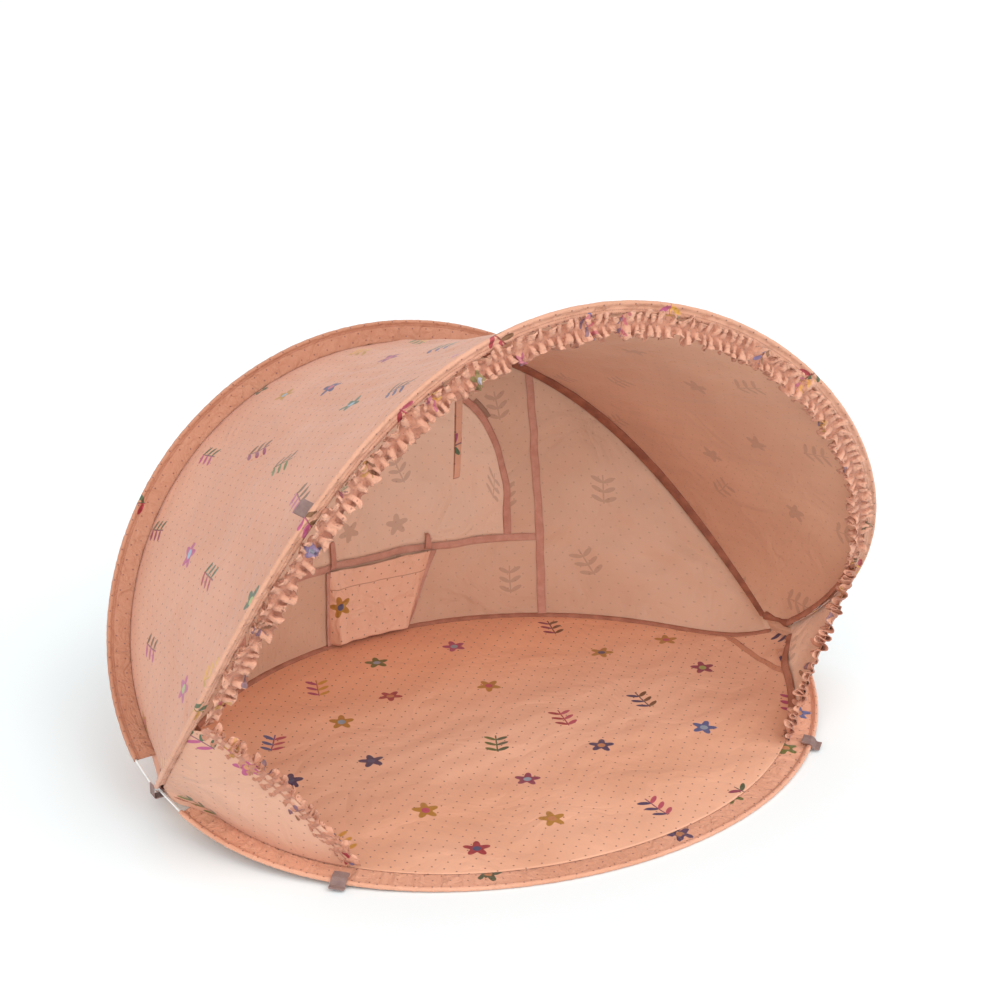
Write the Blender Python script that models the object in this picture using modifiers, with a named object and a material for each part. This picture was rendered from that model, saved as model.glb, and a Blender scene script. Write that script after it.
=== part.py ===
"""A child's pop-up beach tent: two sprung wire hoops cross at the sides and hold a printed
cloth shell with a ground sheet, a lean-to back wall, side wings and a gathered frill round
the opening. Metres, +Z up, the opening faces -Y, the origin is under the middle of the tent.

Each hoop is first drawn flat, as an oval, and is then bent about the line through the two
crossings: one half lies on the ground and the other half stands up as an arch. A place on a
hoop is given by its distance from that line, by an inset towards the hoop's middle and by a
lift off the cloth."""

from math import asin, atan, cos, pi, radians, sin, sqrt, tan

import bmesh
import bpy
import numpy as np
from mathutils import Matrix

# Frame: the two crossings and the hoops
CROSSING_HALF_SPAN = 0.550
CROSSING_HEIGHT = 0.059
CROSSING_LINE_Y = -0.0074
WIRE_RADIUS = 0.0020
WIRE_END_GAP = 0.0030
SEAM_GAP = 0.0003

# Sun hoop: the front arch and the rear edge of the floor
SUN_WIDEST_RISE = 0.1295
SUN_ARCH_REACH = 0.775
SUN_GROUND_REACH = 0.427
SUN_GROUND_RISE = 0.222
SUN_START_ANGLE = radians(36.5)
SUN_TOP_ANGLE = radians(104.7)
SUN_BEND_EASE_SHARE = 1.0

# Shade hoop: the rear arch and the front edge of the floor
SHADE_WIDEST_RISE = 0.0829
SHADE_ARCH_REACH = 0.673
SHADE_GROUND_REACH = 0.416
SHADE_GROUND_RISE = 0.416
SHADE_START_ANGLE = radians(18.3)
SHADE_TOP_ANGLE = radians(69.9)
SHADE_BEND_EASE_SHARE = 1.4

# Wire sleeves: a round channel for the wire with a flat band sewn to the panels
SLEEVE_BORE = 0.0029
SLEEVE_WALL = 0.0004
BAND_THICKNESS = 0.0012
FRONT_ARCH_BAND = 0.014
REAR_ARCH_BAND = 0.034
FRONT_GROUND_BAND = 0.040
REAR_GROUND_BAND = 0.020
FRONT_ARCH_MOUTH = 0.031
REAR_ARCH_MOUTH = 0.060
FRONT_GROUND_MOUTH = 0.050
REAR_GROUND_MOUTH = 0.050
SLEEVE_SEGMENTS = 31

# Ferrules that close the hoops
FERRULE_BORE = 0.00235
FERRULE_RADIUS = 0.0026
FERRULE_LENGTH = 0.030

# Cloth
CLOTH = 0.0010
PANEL_SEAM = 0.0008
PANEL_LIFT = 0.0014
PANEL_FOOT_LIFT = 0.0011
PANEL_OVERRUN_SHARE = 0.5
WALL_BAND_LAP = 0.006
ROOF_SAG = 0.014
ROOF_ROWS = 6
WALL_SAG = 0.010
WALL_ROWS = 8
WALL_TAPE_SHARE = 0.525
SIDE_WALL_COLUMNS = 9
CENTRE_WALL_COLUMNS = 14
FLOOR_ROWS = 5
FLOOR_COLUMNS = 28
WING_ROWS = 6
WING_COLUMNS = 9
WING_SAG = 0.008
WING_ARCH_END = 0.235
WING_GROUND_END = 0.268

# Frill round the opening
FRILL_WIDTH = 0.048
FRILL_THICKNESS = 0.0008
FRILL_LIFT = -0.0020
FRILL_START = 0.0055
FRILL_SWING = 0.0085
FRILL_FOLD_SHARE = 0.45
FRILL_EDGE_SHARE = 0.95
FOLD_SWING_SHARE = 0.6
SEAM_SWING_SHARE = 0.12
SEAM_LIFT_SHARE = 1.2
WING_FRILL_FOOT_SHARE = 0.04
WING_FRILL_LENGTH_SHARE = 0.90
ARCH_FRILL_FOLDS = 42
WING_FRILL_FOLDS = 8
FOLD_STEPS = 4
WING_FRILL_GAP = 0.0012

# Back wall window with its cover, tapes, pocket and ties
WINDOW_HALF_WIDTH = 0.216
WINDOW_SILL = 0.160
WINDOW_TOP = 0.425
WINDOW_ROUNDNESS_SHARE = 3.2
WINDOW_STEPS = 28
BINDING_WIDTH = 0.012
COVER_LAP = 0.004
NET_INSET = 0.0006
NET_THICKNESS = 0.0006
TAPE_WIDTH = 0.016
TAPE_THICKNESS = 0.0008
TAPE_CLEARANCE = 0.0008
SILL_TAPE_WIDTH = 0.013
CUTTER_DEPTH = 0.30
POCKET_HALF_WIDTH = 0.098
POCKET_SLANT = 0.050
POCKET_BASE = 0.012
POCKET_DEPTH = 0.016
POCKET_BASE_DEPTH = 0.012
POCKET_FOOT_RISE = 0.002
POCKET_CLEARANCE = 0.0008
TIE_WIDTH = 0.010
TIE_LEFT_HEIGHT = 0.046
TIE_RIGHT_HEIGHT = 0.024
TIE_GAP = 0.004

# Webbing loops and the roof strap
WEBBING = 0.0013
CROSSING_LOOP_LENGTH = 0.016
CROSSING_LOOP_CLEARANCE = 0.0005
CROSSING_LOOP_SLACK = 0.0005
PEG_LOOP_WIDTH = 0.022
PEG_LOOP_TAIL = 0.016
PEG_LOOP_STAND = 0.016
PEG_LOOP_CLEARANCE = 0.0004
GUY_LOOP_REACH = 0.572
GUY_LOOP_WIDTH = 0.022
GUY_LOOP_LENGTH = 0.027
GUY_LOOP_OPEN = 0.0030
GUY_LOOP_LEAN = radians(40)
GUY_LOOP_REAR_SHARE = 0.8
GUY_LOOP_MIDDLE_SHARE = 0.9
LOOP_STEP = 0.01
STRAP_WIDTH = 0.012
STRAP_LENGTH = 0.215
STRAP_THICKNESS = 0.0022
PATCH_HALF_SIZE = 0.016
STRAP_ROOF_SHARE = 0.50
STRAP_SHIFT = -0.016
STRAP_ROOF_STEP = 0.05

# Colours, as linear red, green and blue
PEACH = (0.72, 0.40, 0.29)
DEEP_PEACH = (0.62, 0.30, 0.21)
CORAL_TAPE = (0.50, 0.22, 0.15)
NET_BROWN = (0.36, 0.22, 0.17)
WEBBING_MAUVE = (0.36, 0.25, 0.22)
WIRE_SILVER = (0.75, 0.75, 0.76)

WIRE_STEP = WIRE_RADIUS + SEAM_GAP
SLEEVE_RADIUS = SLEEVE_BORE + SLEEVE_WALL
WIRE_REST = SLEEVE_RADIUS
GROUND_DROOP = BAND_THICKNESS / 2 - WIRE_REST
SHARP_ANGLE = radians(50)
COLLECTION_NAME = "beach_tent"

# Pieces that fold about the crossing line, each group with its own pivot
FOLDING_PIECES = {
    "front_floor": (
        "ground_sheet_front",
        "front_ground_sleeve",
        "front_ground_wire",
        "shade_hoop_ferrule",
        "wing_left",
        "wing_right",
        "wing_frill_left",
        "wing_frill_right",
        "peg_loop_left",
        "peg_loop_right",
    ),
    "rear_arch": ("rear_arch_sleeve", "rear_arch_wire"),
    "front_arch": (
        "front_arch_sleeve",
        "front_arch_wire",
        "arch_frill",
        "roof_panel",
        "guy_loop_left",
        "guy_loop_right",
        "strap_patch",
        "roof_strap",
    ),
}


class Hoop:
    """An oval wire hoop, drawn flat and bent about the crossing line."""

    def __init__(self, widest, arch_reach, ground_reach, rise, angles, ease, side):
        self.widest = widest
        self.arch_axis = arch_reach - widest
        self.ground_axis = ground_reach + widest
        self.rise = rise
        self.side = side
        self.fall_power = tan(angles[0]) * rise / (CROSSING_HEIGHT - WIRE_REST)
        self.reach = np.linspace(0, arch_reach + 2 * SLEEVE_RADIUS, 201)
        share = np.minimum(self.reach / arch_reach, 1)
        self.angle = angles[0] + (angles[1] - angles[0]) * (1 - (1 - share) ** ease)
        middle = (self.angle[1:] + self.angle[:-1]) / 2
        step = np.diff(self.reach)
        self.forward = np.concatenate([[0], np.cumsum(step * np.cos(middle))])
        self.upward = np.concatenate([[0], np.cumsum(step * np.sin(middle))])

    def turn_at(self, distance):
        """The oval's angle at a distance from the crossing line, on its right side."""
        beyond = distance - self.widest
        return asin(beyond / (self.ground_axis if beyond < 0 else self.arch_axis))

    def place(self, x, distance, lift):
        """Bends a point of the flat drawing to its place, lifted square to the cloth."""
        if distance >= 0:
            angle = np.interp(distance, self.reach, self.angle)
            away = np.interp(distance, self.reach, self.forward)
            height = CROSSING_HEIGHT + np.interp(distance, self.reach, self.upward)
            side = self.side
        else:
            left = max(0.0, 1 + distance / self.rise)
            drop = CROSSING_HEIGHT - WIRE_REST
            angle = -atan(drop * self.fall_power / self.rise * left ** (self.fall_power - 1))
            away = -distance
            height = WIRE_REST + drop * left**self.fall_power
            side = -self.side
        y = CROSSING_LINE_Y + side * (away - lift * sin(angle))
        return np.array([x, y, height + lift * cos(angle)])

    def point(self, turn, step, inset, lift):
        """A place at an angle of the oval. step widens the hoop where the wires pass."""
        axis = self.arch_axis if sin(turn) > 0 else self.ground_axis
        half_span = CROSSING_HALF_SPAN + step
        widest_half = half_span / sqrt(1 - (self.widest / self.ground_axis) ** 2)
        way = np.array([cos(turn) / widest_half, sin(turn) / axis])
        way /= np.linalg.norm(way)
        x = widest_half * cos(turn) - inset * way[0]
        distance = self.widest + axis * sin(turn) - inset * way[1]
        return self.place(x, distance, lift)


class Half:
    """One half of a hoop, as stations from its left crossing to its right one."""

    def __init__(self, hoop, arch, mouth, step):
        self.hoop = hoop
        self.step = step
        self.arch = arch
        self.turns = self.run(mouth, SLEEVE_SEGMENTS + 1)
        ends = self.run(WIRE_END_GAP, 2)
        self.wire_turns = [ends[0], *self.turns, ends[1]]
        corners = self.run(mouth - mouth * PANEL_OVERRUN_SHARE, 2)
        self.panel_turns = [corners[0], *self.turns, corners[1]]
        self.panel_steps = len(self.panel_turns) - 1

    def run(self, mouth, count):
        last = self.hoop.turn_at(mouth if self.arch else -mouth)
        first = pi - last if self.arch else -pi - last
        return list(np.linspace(first, last, count))

    def station(self, index, inset, lift):
        return self.hoop.point(self.turns[index], self.step, inset, lift)

    def at(self, share, inset, lift):
        """A place along the panels' edge, from 0 at its left end to 1 at its right one."""
        where = min(max(share, 0.0), 1.0) * self.panel_steps
        index = min(int(where), self.panel_steps - 1)
        part = where - index
        here, beyond = self.panel_turns[index : index + 2]
        start = self.hoop.point(here, self.step, inset, lift)
        return start * (1 - part) + self.hoop.point(beyond, self.step, inset, lift) * part

    def share_of_distance(self, distance):
        """How far along the half its left side lies this far from the crossing line."""
        sense = -1 if self.arch else 1
        wanted = sense * self.run(distance, 2)[0]
        turns = [sense * turn for turn in self.panel_turns]
        steps = range(self.panel_steps + 1)
        return float(np.interp(wanted, turns, steps)) / self.panel_steps

    def share_of_width(self, width_share, inset):
        """How far along the half x is this share of its half width at the mouth."""
        shares = np.linspace(0, 1, 4 * self.panel_steps + 1)
        across = np.array([self.at(s, inset, 0)[0] for s in shares])
        across = np.maximum.accumulate(across / across[-1] * (1 - 1e-6) + shares * 1e-6)
        return float(np.interp(width_share, across, shares))


sun_hoop = Hoop(
    SUN_WIDEST_RISE,
    SUN_ARCH_REACH,
    SUN_GROUND_REACH,
    SUN_GROUND_RISE,
    (SUN_START_ANGLE, SUN_TOP_ANGLE),
    SUN_BEND_EASE_SHARE,
    -1,
)
shade_hoop = Hoop(
    SHADE_WIDEST_RISE,
    SHADE_ARCH_REACH,
    SHADE_GROUND_REACH,
    SHADE_GROUND_RISE,
    (SHADE_START_ANGLE, SHADE_TOP_ANGLE),
    SHADE_BEND_EASE_SHARE,
    1,
)
front_arch = Half(sun_hoop, True, FRONT_ARCH_MOUTH, WIRE_STEP)
rear_ground = Half(sun_hoop, False, REAR_GROUND_MOUTH, -WIRE_STEP)
rear_arch = Half(shade_hoop, True, REAR_ARCH_MOUTH, WIRE_STEP)
front_ground = Half(shade_hoop, False, FRONT_GROUND_MOUTH, -WIRE_STEP)


def clear_scene():
    for obj in list(bpy.data.objects):
        bpy.data.objects.remove(obj)


def new_collection(name, hidden=False):
    collection = bpy.data.collections.new(name)
    bpy.context.scene.collection.children.link(collection)
    collection.hide_render = hidden
    return collection


def new_material(name, color, roughness, metallic=0.0):
    material = bpy.data.materials.new(name)
    material.use_nodes = True
    shader = material.node_tree.nodes["Principled BSDF"]
    shader.inputs["Base Color"].default_value = (*color, 1.0)
    shader.inputs["Roughness"].default_value = roughness
    shader.inputs["Metallic"].default_value = metallic
    return material


clear_scene()
PARTS = new_collection(COLLECTION_NAME)
CUTTERS = new_collection("cutters", hidden=True)


def add_object(name, data, color, roughness=0.75, metallic=0.0, collection=PARTS):
    obj = bpy.data.objects.new(name, data)
    collection.objects.link(obj)
    obj.data.materials.append(new_material(name, color, roughness, metallic))
    return obj


def mesh_from(name, points, faces):
    mesh = bpy.data.meshes.new(name)
    mesh.from_pydata([tuple(p) for p in points], [], faces)
    return mesh


def loft(name, rings, bores=None, **look):
    """A solid through like rings of points. bores hollow it from end to end."""
    count = len(rings[0])
    hollow = len(bores[0]) if bores else 0
    points = [p for ring in rings for p in ring]
    outside = len(points)
    points += [p for bore in bores or [] for p in bore]
    faces = []
    for k in range(len(rings) - 1):
        for i in range(count):
            j = (i + 1) % count
            a, b = k * count, (k + 1) * count
            faces.append((a + i, b + i, b + j, a + j))
        for i in range(hollow):
            j = (i + 1) % hollow
            a, b = outside + k * hollow, outside + (k + 1) * hollow
            faces.append((a + i, a + j, b + j, b + i))
    last = (len(rings) - 1) * count
    last_bore = outside + (len(rings) - 1) * hollow
    if hollow:
        for i in range(hollow):
            j = (i + 1) % hollow
            faces.append((i, j, outside + j, outside + i))
            faces.append((last + j, last + i, last_bore + i, last_bore + j))
        if count > hollow:
            tail = tuple(range(hollow - 1, count)) + (0,)
            faces.append(tail)
            faces.append(tuple(last + i for i in reversed(tail)))
    else:
        faces.append(tuple(range(count)))
        faces.append(tuple(last + i for i in reversed(range(count))))
    mesh = mesh_from(name, points, faces)
    outward(mesh)
    mesh.shade_smooth()
    mesh.set_sharp_from_angle(angle=SHARP_ANGLE)
    return add_object(name, mesh, **look)


def outward(mesh):
    shell = bmesh.new()
    shell.from_mesh(mesh)
    bmesh.ops.recalc_face_normals(shell, faces=shell.faces)
    shell.to_mesh(mesh)
    shell.free()


def sheet(name, grid, thickness, **look):
    """Cloth or webbing: an open grid of points given its thickness by Solidify."""
    shape = bmesh.new()
    segments = {"x_segments": len(grid[0]) - 1, "y_segments": len(grid) - 1}
    bmesh.ops.create_grid(shape, **segments, size=1)
    points = [p for row in grid for p in row]
    for vert, point in zip(shape.verts, points, strict=True):
        vert.co = point
    bmesh.ops.triangulate(shape, faces=shape.faces, quad_method="FIXED")
    mesh = bpy.data.meshes.new(name)
    shape.to_mesh(mesh)
    shape.free()
    obj = add_object(name, mesh, **look)
    solidify = obj.modifiers.new("Thickness", "SOLIDIFY")
    solidify.thickness = thickness
    solidify.offset = 0
    return obj


def octagon(radius):
    """Corners of an octagon with flats at this radius, from the band side round."""
    corner = radius / cos(pi / 8)
    turns = [pi / 8 + i * pi / 4 for i in range(8)]
    return [(corner * cos(t), corner * sin(t)) for t in turns]


def sleeve(name, half, band, droop, **look):
    """A wire sleeve: an octagonal channel whose flat band runs to the panel seam."""
    outer = octagon(SLEEVE_RADIUS)
    outer += [(band, droop - BAND_THICKNESS / 2), (band, droop + BAND_THICKNESS / 2)]
    bore = octagon(SLEEVE_BORE)
    stations = range(SLEEVE_SEGMENTS + 1)
    rings = [[half.station(k, n, b) for n, b in outer] for k in stations]
    bores = [[half.station(k, n, b) for n, b in bore] for k in stations]
    return loft(name, rings, bores, **look)


def wire(name, half):
    """A length of spring wire along one half of a hoop, between the crossings."""
    curve = bpy.data.curves.new(name, "CURVE")
    curve.dimensions = "3D"
    curve.bevel_depth = WIRE_RADIUS
    curve.bevel_resolution = 1
    curve.use_fill_caps = True
    route = [half.hoop.point(t, half.step, 0, 0) for t in half.wire_turns]
    spline = curve.splines.new("POLY")
    spline.points.add(len(route) - 1)
    for point, place in zip(spline.points, route, strict=True):
        point.co = (*place, 1.0)
    return add_object(name, curve, WIRE_SILVER, 0.3, 1.0)


def ferrule(name, half):
    """The crimped tube round the joint of a hoop's wire ends, in a sleeve's middle."""
    middle = SLEEVE_SEGMENTS // 2
    start, end = half.station(middle, 0, 0), half.station(middle + 1, 0, 0)
    centre = (start + end) / 2
    along = (end - start) / np.linalg.norm(end - start)
    across = np.cross(along, (0, 0, 1))
    across /= np.linalg.norm(across)
    rise = np.cross(across, along)

    def ring(radius, side):
        middle_point = centre + along * side * FERRULE_LENGTH / 2
        return [middle_point + across * n + rise * b for n, b in octagon(radius)]

    outer_flat = FERRULE_RADIUS * cos(pi / 8)
    rings = [ring(outer_flat, -1), ring(outer_flat, 1)]
    bores = [ring(FERRULE_BORE, -1), ring(FERRULE_BORE, 1)]
    look = {"color": WIRE_SILVER, "roughness": 0.35, "metallic": 1.0}
    return loft(name, rings, bores, **look)


def towards_line(point, amount):
    """Moves a point towards the crossing line, as cloth between two arches draws in."""
    way = np.array([0, CROSSING_LINE_Y - point[1], CROSSING_HEIGHT - point[2]])
    return point + way / np.linalg.norm(way) * amount


def roof_point(share, across):
    """A place on the roof: along the arches, and from 0 at the rear to 1 at the front."""
    rear = rear_arch.at(share, REAR_ARCH_BAND + PANEL_SEAM, PANEL_LIFT)
    front = front_arch.at(share, FRONT_ARCH_BAND + PANEL_SEAM, PANEL_LIFT)
    point = rear * (1 - across) + front * across
    return towards_line(point, ROOF_SAG * 4 * across * (1 - across) * sin(pi * share))


def build_roof():
    shares = np.linspace(0, 1, front_arch.panel_steps + 1)
    rows = np.linspace(0, 1, ROOF_ROWS + 1)
    grid = [[roof_point(s, a) for s in shares] for a in rows]
    return sheet("roof_panel", grid, CLOTH, color=PEACH)


def wall_point(width_share, up, lift=0.0):
    """A place on the back wall: across it from -1 to 1, and up it from 0 to 1."""
    foot_inset = REAR_GROUND_BAND - WALL_BAND_LAP
    head_inset = REAR_ARCH_BAND + PANEL_SEAM
    foot_lift = GROUND_DROOP + BAND_THICKNESS + PANEL_FOOT_LIFT
    foot = rear_ground.at(rear_ground.share_of_width(width_share, foot_inset), foot_inset, foot_lift)
    head = rear_arch.at(rear_arch.share_of_width(width_share, head_inset), head_inset, -PANEL_LIFT)
    point = foot * (1 - up) + head * up
    point[1] -= WALL_SAG * 4 * up * (1 - up) * (1 - width_share**2) + lift
    return point


def wall_grid(first, last, columns, lift):
    shares = np.linspace(first, last, columns + 1)
    ups = np.linspace(0, 1, WALL_ROWS + 1)
    return [[wall_point(s, u, lift) for s in shares] for u in ups]


def prism(name, outline):
    """A cutter with this outline, drawn in X and Z, through the back wall along Y."""
    near = wall_point(0, 0)[1] - CUTTER_DEPTH / 2
    shape = bmesh.new()
    front = [shape.verts.new((x, near, z)) for x, z in outline]
    face = shape.faces.new(front)
    grown = bmesh.ops.extrude_face_region(shape, geom=[face])["geom"]
    moved = [v for v in grown if isinstance(v, bmesh.types.BMVert)]
    bmesh.ops.translate(shape, verts=moved, vec=(0, CUTTER_DEPTH, 0))
    bmesh.ops.recalc_face_normals(shape, faces=shape.faces)
    mesh = bpy.data.meshes.new(name)
    shape.to_mesh(mesh)
    shape.free()
    cutter = add_object(name, mesh, CORAL_TAPE, collection=CUTTERS)
    cutter.hide_render = True
    cutter.display_type = "WIRE"
    return cutter


def window_outline(grow):
    """The window's outline: a level sill under a round-shouldered arch."""
    half_width = WINDOW_HALF_WIDTH + grow
    sill = WINDOW_SILL - grow
    height = WINDOW_TOP + grow - sill
    power = 2 / WINDOW_ROUNDNESS_SHARE
    outline = []
    for turn in np.linspace(0, pi, WINDOW_STEPS + 1):
        side = 1 if cos(turn) >= 0 else -1
        across = side * half_width * abs(cos(turn)) ** power
        outline.append((across, sill + height * abs(sin(turn)) ** power))
    return outline


def level_box(top, height, half_width):
    foot = top - height
    return [(half_width, foot), (half_width, top), (-half_width, top), (-half_width, foot)]


def boolean(obj, operation, cutter):
    modifier = obj.modifiers.new(cutter.name, "BOOLEAN")
    modifier.operation = operation
    modifier.solver = "EXACT"
    modifier.object = cutter


def build_back_wall():
    """Three wall panels, the middle one with its window, net, cover, binding and tapes."""
    gap_share = SEAM_GAP / 2 / CROSSING_HALF_SPAN
    seam = WALL_TAPE_SHARE
    left = wall_grid(-1, -seam - gap_share, SIDE_WALL_COLUMNS, 0)
    right = wall_grid(seam + gap_share, 1, SIDE_WALL_COLUMNS, 0)
    sheet("back_wall_left", left, CLOTH, color=PEACH)
    sheet("back_wall_right", right, CLOTH, color=PEACH)

    def middle(name, thickness, lift, color):
        grid = wall_grid(gap_share - seam, seam - gap_share, CENTRE_WALL_COLUMNS, lift)
        return sheet(name, grid, thickness, color=color)

    outer = COVER_LAP + BINDING_WIDTH
    opening = prism("window_cutter", window_outline(0))
    net_edge = prism("net_cutter", window_outline(-NET_INSET))
    cover_edge = prism("cover_cutter", window_outline(COVER_LAP))
    inner_edge = prism("binding_inner_cutter", window_outline(COVER_LAP + SEAM_GAP))
    outer_edge = prism("binding_outer_cutter", window_outline(outer))
    below = prism("binding_foot_cutter", level_box(WINDOW_SILL - COVER_LAP, 2 * outer, CROSSING_HALF_SPAN))
    wall = middle("back_wall_centre", CLOTH, 0, PEACH)
    boolean(wall, "DIFFERENCE", opening)
    net = middle("window_net", NET_THICKNESS, 0, NET_BROWN)
    boolean(net, "INTERSECT", net_edge)
    layer = CLOTH / 2 + TAPE_CLEARANCE + TAPE_THICKNESS / 2
    cover = middle("window_cover", TAPE_THICKNESS, layer, PEACH)
    boolean(cover, "INTERSECT", cover_edge)
    binding = middle("window_binding", TAPE_THICKNESS, layer, CORAL_TAPE)
    boolean(binding, "INTERSECT", outer_edge)
    boolean(binding, "DIFFERENCE", inner_edge)
    boolean(binding, "DIFFERENCE", below)
    tape_share = TAPE_WIDTH / 2 / CROSSING_HALF_SPAN
    top, foot = sill_tape_heights()
    up = top / wall_point(0, 1)[2]
    reach = wall_point(seam - tape_share, up)[0] - 2 * PANEL_SEAM
    tape = middle("sill_tape", TAPE_THICKNESS, layer, CORAL_TAPE)
    boolean(tape, "INTERSECT", prism("sill_tape_cutter", level_box(top, top - foot, reach)))
    for side, name in ((-1, "left"), (1, "right")):
        edges = sorted((side * seam - tape_share, side * seam + tape_share))
        grid = wall_grid(*edges, 2, layer)
        sheet(f"wall_tape_{name}", grid, TAPE_THICKNESS, color=CORAL_TAPE)


def wall_front(x, z):
    """The back wall's y at a place seen from the front."""
    foot_half = wall_point(1, 0)[0]
    head_half = wall_point(1, 1)[0]
    head = wall_point(0, 1)[2]
    up = min(max(z / head, 0), 1)
    width_share = x / (foot_half * (1 - up) + head_half * up)
    for _ in range(3):
        low, high = wall_point(width_share, 0)[2], wall_point(width_share, 1)[2]
        up = (z - low) / (high - low)
        width_share = x / (foot_half * (1 - up) + head_half * up)
    return wall_point(width_share, up)[1]


def sill_tape_heights():
    """The top and the foot of the level tape across the wall, under the window's cover."""
    top = WINDOW_SILL - COVER_LAP - SEAM_GAP
    return top, top - SILL_TAPE_WIDTH


def build_pocket():
    """An open-topped pouch sewn to the wall by its sides and its base, below the tape."""
    skin = CLOTH / 2 + TAPE_CLEARANCE + CLOTH / 2
    top = sill_tape_heights()[1] - POCKET_CLEARANCE
    rows = (
        (top, 0, POCKET_DEPTH),
        ((top + POCKET_BASE) / 2, POCKET_SLANT / 2, POCKET_DEPTH),
        (POCKET_BASE, POCKET_SLANT, POCKET_BASE_DEPTH),
        (POCKET_BASE - POCKET_FOOT_RISE, POCKET_SLANT, 0.0),
    )
    grid = []
    for z, slant, depth in rows:
        right = POCKET_HALF_WIDTH - slant
        span = right + POCKET_HALF_WIDTH
        across = [right - span * s for s in (1, 1, 0.75, 0.5, 0.25, 0, 0)]
        edge = len(across) - 1
        line = []
        for k, x in enumerate(across):
            out = 0.0 if k in (0, edge) else depth
            line.append((x, wall_front(x, z) - skin - out, z))
        grid.append(line)
    sheet("pocket", grid, CLOTH, color=DEEP_PEACH)


def strip(name, route, width, thickness, way, **look):
    """A flat strip along a route, its width along way."""
    way = np.array(way, float)
    grid = [[np.array(p) + way * side * width / 2 for p in route] for side in (-1, 1)]
    return sheet(name, grid, thickness, **look)


def build_ties():
    """Two folded tape loops that stand on the level tape at the window's lower corners."""
    skin = CLOTH / 2 + 2 * TAPE_CLEARANCE + 1.5 * TAPE_THICKNESS
    foot = sill_tape_heights()[1]
    for side, height, name in ((-1, TIE_LEFT_HEIGHT, "left"), (1, TIE_RIGHT_HEIGHT, "right")):
        x = side * (POCKET_HALF_WIDTH - TIE_WIDTH)
        top = sill_tape_heights()[0] + height
        sides = (x - TIE_WIDTH / 2, x + TIE_WIDTH / 2)
        near = min(wall_front(u, z) for u in sides for z in (foot, top)) - skin
        route = [
            (x, near, foot),
            (x, near, top),
            (x, near - TIE_GAP / 2, top + TIE_GAP / 2),
            (x, near - TIE_GAP, top),
            (x, near - TIE_GAP, foot),
        ]
        strip(f"tie_{name}", route, TIE_WIDTH, TAPE_THICKNESS, (1, 0, 0), color=CORAL_TAPE)


def floor_height(front, rear, share, width_share):
    """The floor lies flat in the middle and rises to the crossings at the sides."""
    edge = front[2] * (1 - share) + rear[2] * share
    low = BAND_THICKNESS / 2
    flat = (1 - width_share**4) * 4 * share * (1 - share)
    return low + (edge - low) * (1 - flat)


def build_floor():
    """The ground sheet, as a front leaf and a rear leaf that meet at the crossing line."""
    front_inset = FRONT_GROUND_BAND + PANEL_SEAM
    rear_inset = REAR_GROUND_BAND + PANEL_SEAM
    columns = np.linspace(-1, 1, FLOOR_COLUMNS + 1)
    for name, leaf in (("ground_sheet_front", 0), ("ground_sheet_rear", 1)):
        grid = []
        for row in range(FLOOR_ROWS + 1):
            line = []
            for column in columns:
                share = front_ground.share_of_width(column, front_inset)
                front = front_ground.at(share, front_inset, GROUND_DROOP)
                share = rear_ground.share_of_width(column, rear_inset)
                rear = rear_ground.at(share, rear_inset, GROUND_DROOP)
                meet = (CROSSING_LINE_Y - front[1]) / (rear[1] - front[1])
                gap = SEAM_GAP / 2 / (rear[1] - front[1])
                low, high = (0, meet - gap) if leaf == 0 else (meet + gap, 1)
                part = low + (high - low) * row / FLOOR_ROWS
                point = front * (1 - part) + rear * part
                point[2] = floor_height(front, rear, part, column)
                line.append(point)
            grid.append(line)
        sheet(name, grid, CLOTH, color=DEEP_PEACH)


def wing_point(side, along, up):
    """A place on a side wing: from the crossing at 0 to its free edge at 1, and up it."""
    arch_last = front_arch.share_of_distance(WING_ARCH_END)
    ground_last = front_ground.share_of_distance(WING_GROUND_END)
    foot_inset = FRONT_GROUND_BAND - WALL_BAND_LAP
    foot_lift = GROUND_DROOP + BAND_THICKNESS + PANEL_FOOT_LIFT
    arch_share, ground_share = arch_last * along, ground_last * along
    if side > 0:
        arch_share, ground_share = 1 - arch_share, 1 - ground_share
    foot = front_ground.at(ground_share, foot_inset, foot_lift)
    head = front_arch.at(arch_share, FRONT_ARCH_BAND + PANEL_SEAM, -PANEL_LIFT)
    point = foot * (1 - up) + head * up
    point[0] -= side * WING_SAG * 4 * up * (1 - up) * along
    return point


def build_wings():
    for side, name in ((-1, "left"), (1, "right")):
        ups = np.linspace(0, 1, WING_ROWS + 1)
        alongs = np.linspace(0, 1, WING_COLUMNS + 1)
        grid = [[wing_point(side, a, u) for a in alongs] for u in ups]
        sheet(f"wing_{name}", grid, CLOTH, color=PEACH)
        build_wing_frill(side, f"wing_frill_{name}")


def fold_share(step):
    """The side swing of a gathered fold at its quarter steps: out, level, in, level."""
    return (0, 1, 0, -1)[step % FOLD_STEPS]


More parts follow.
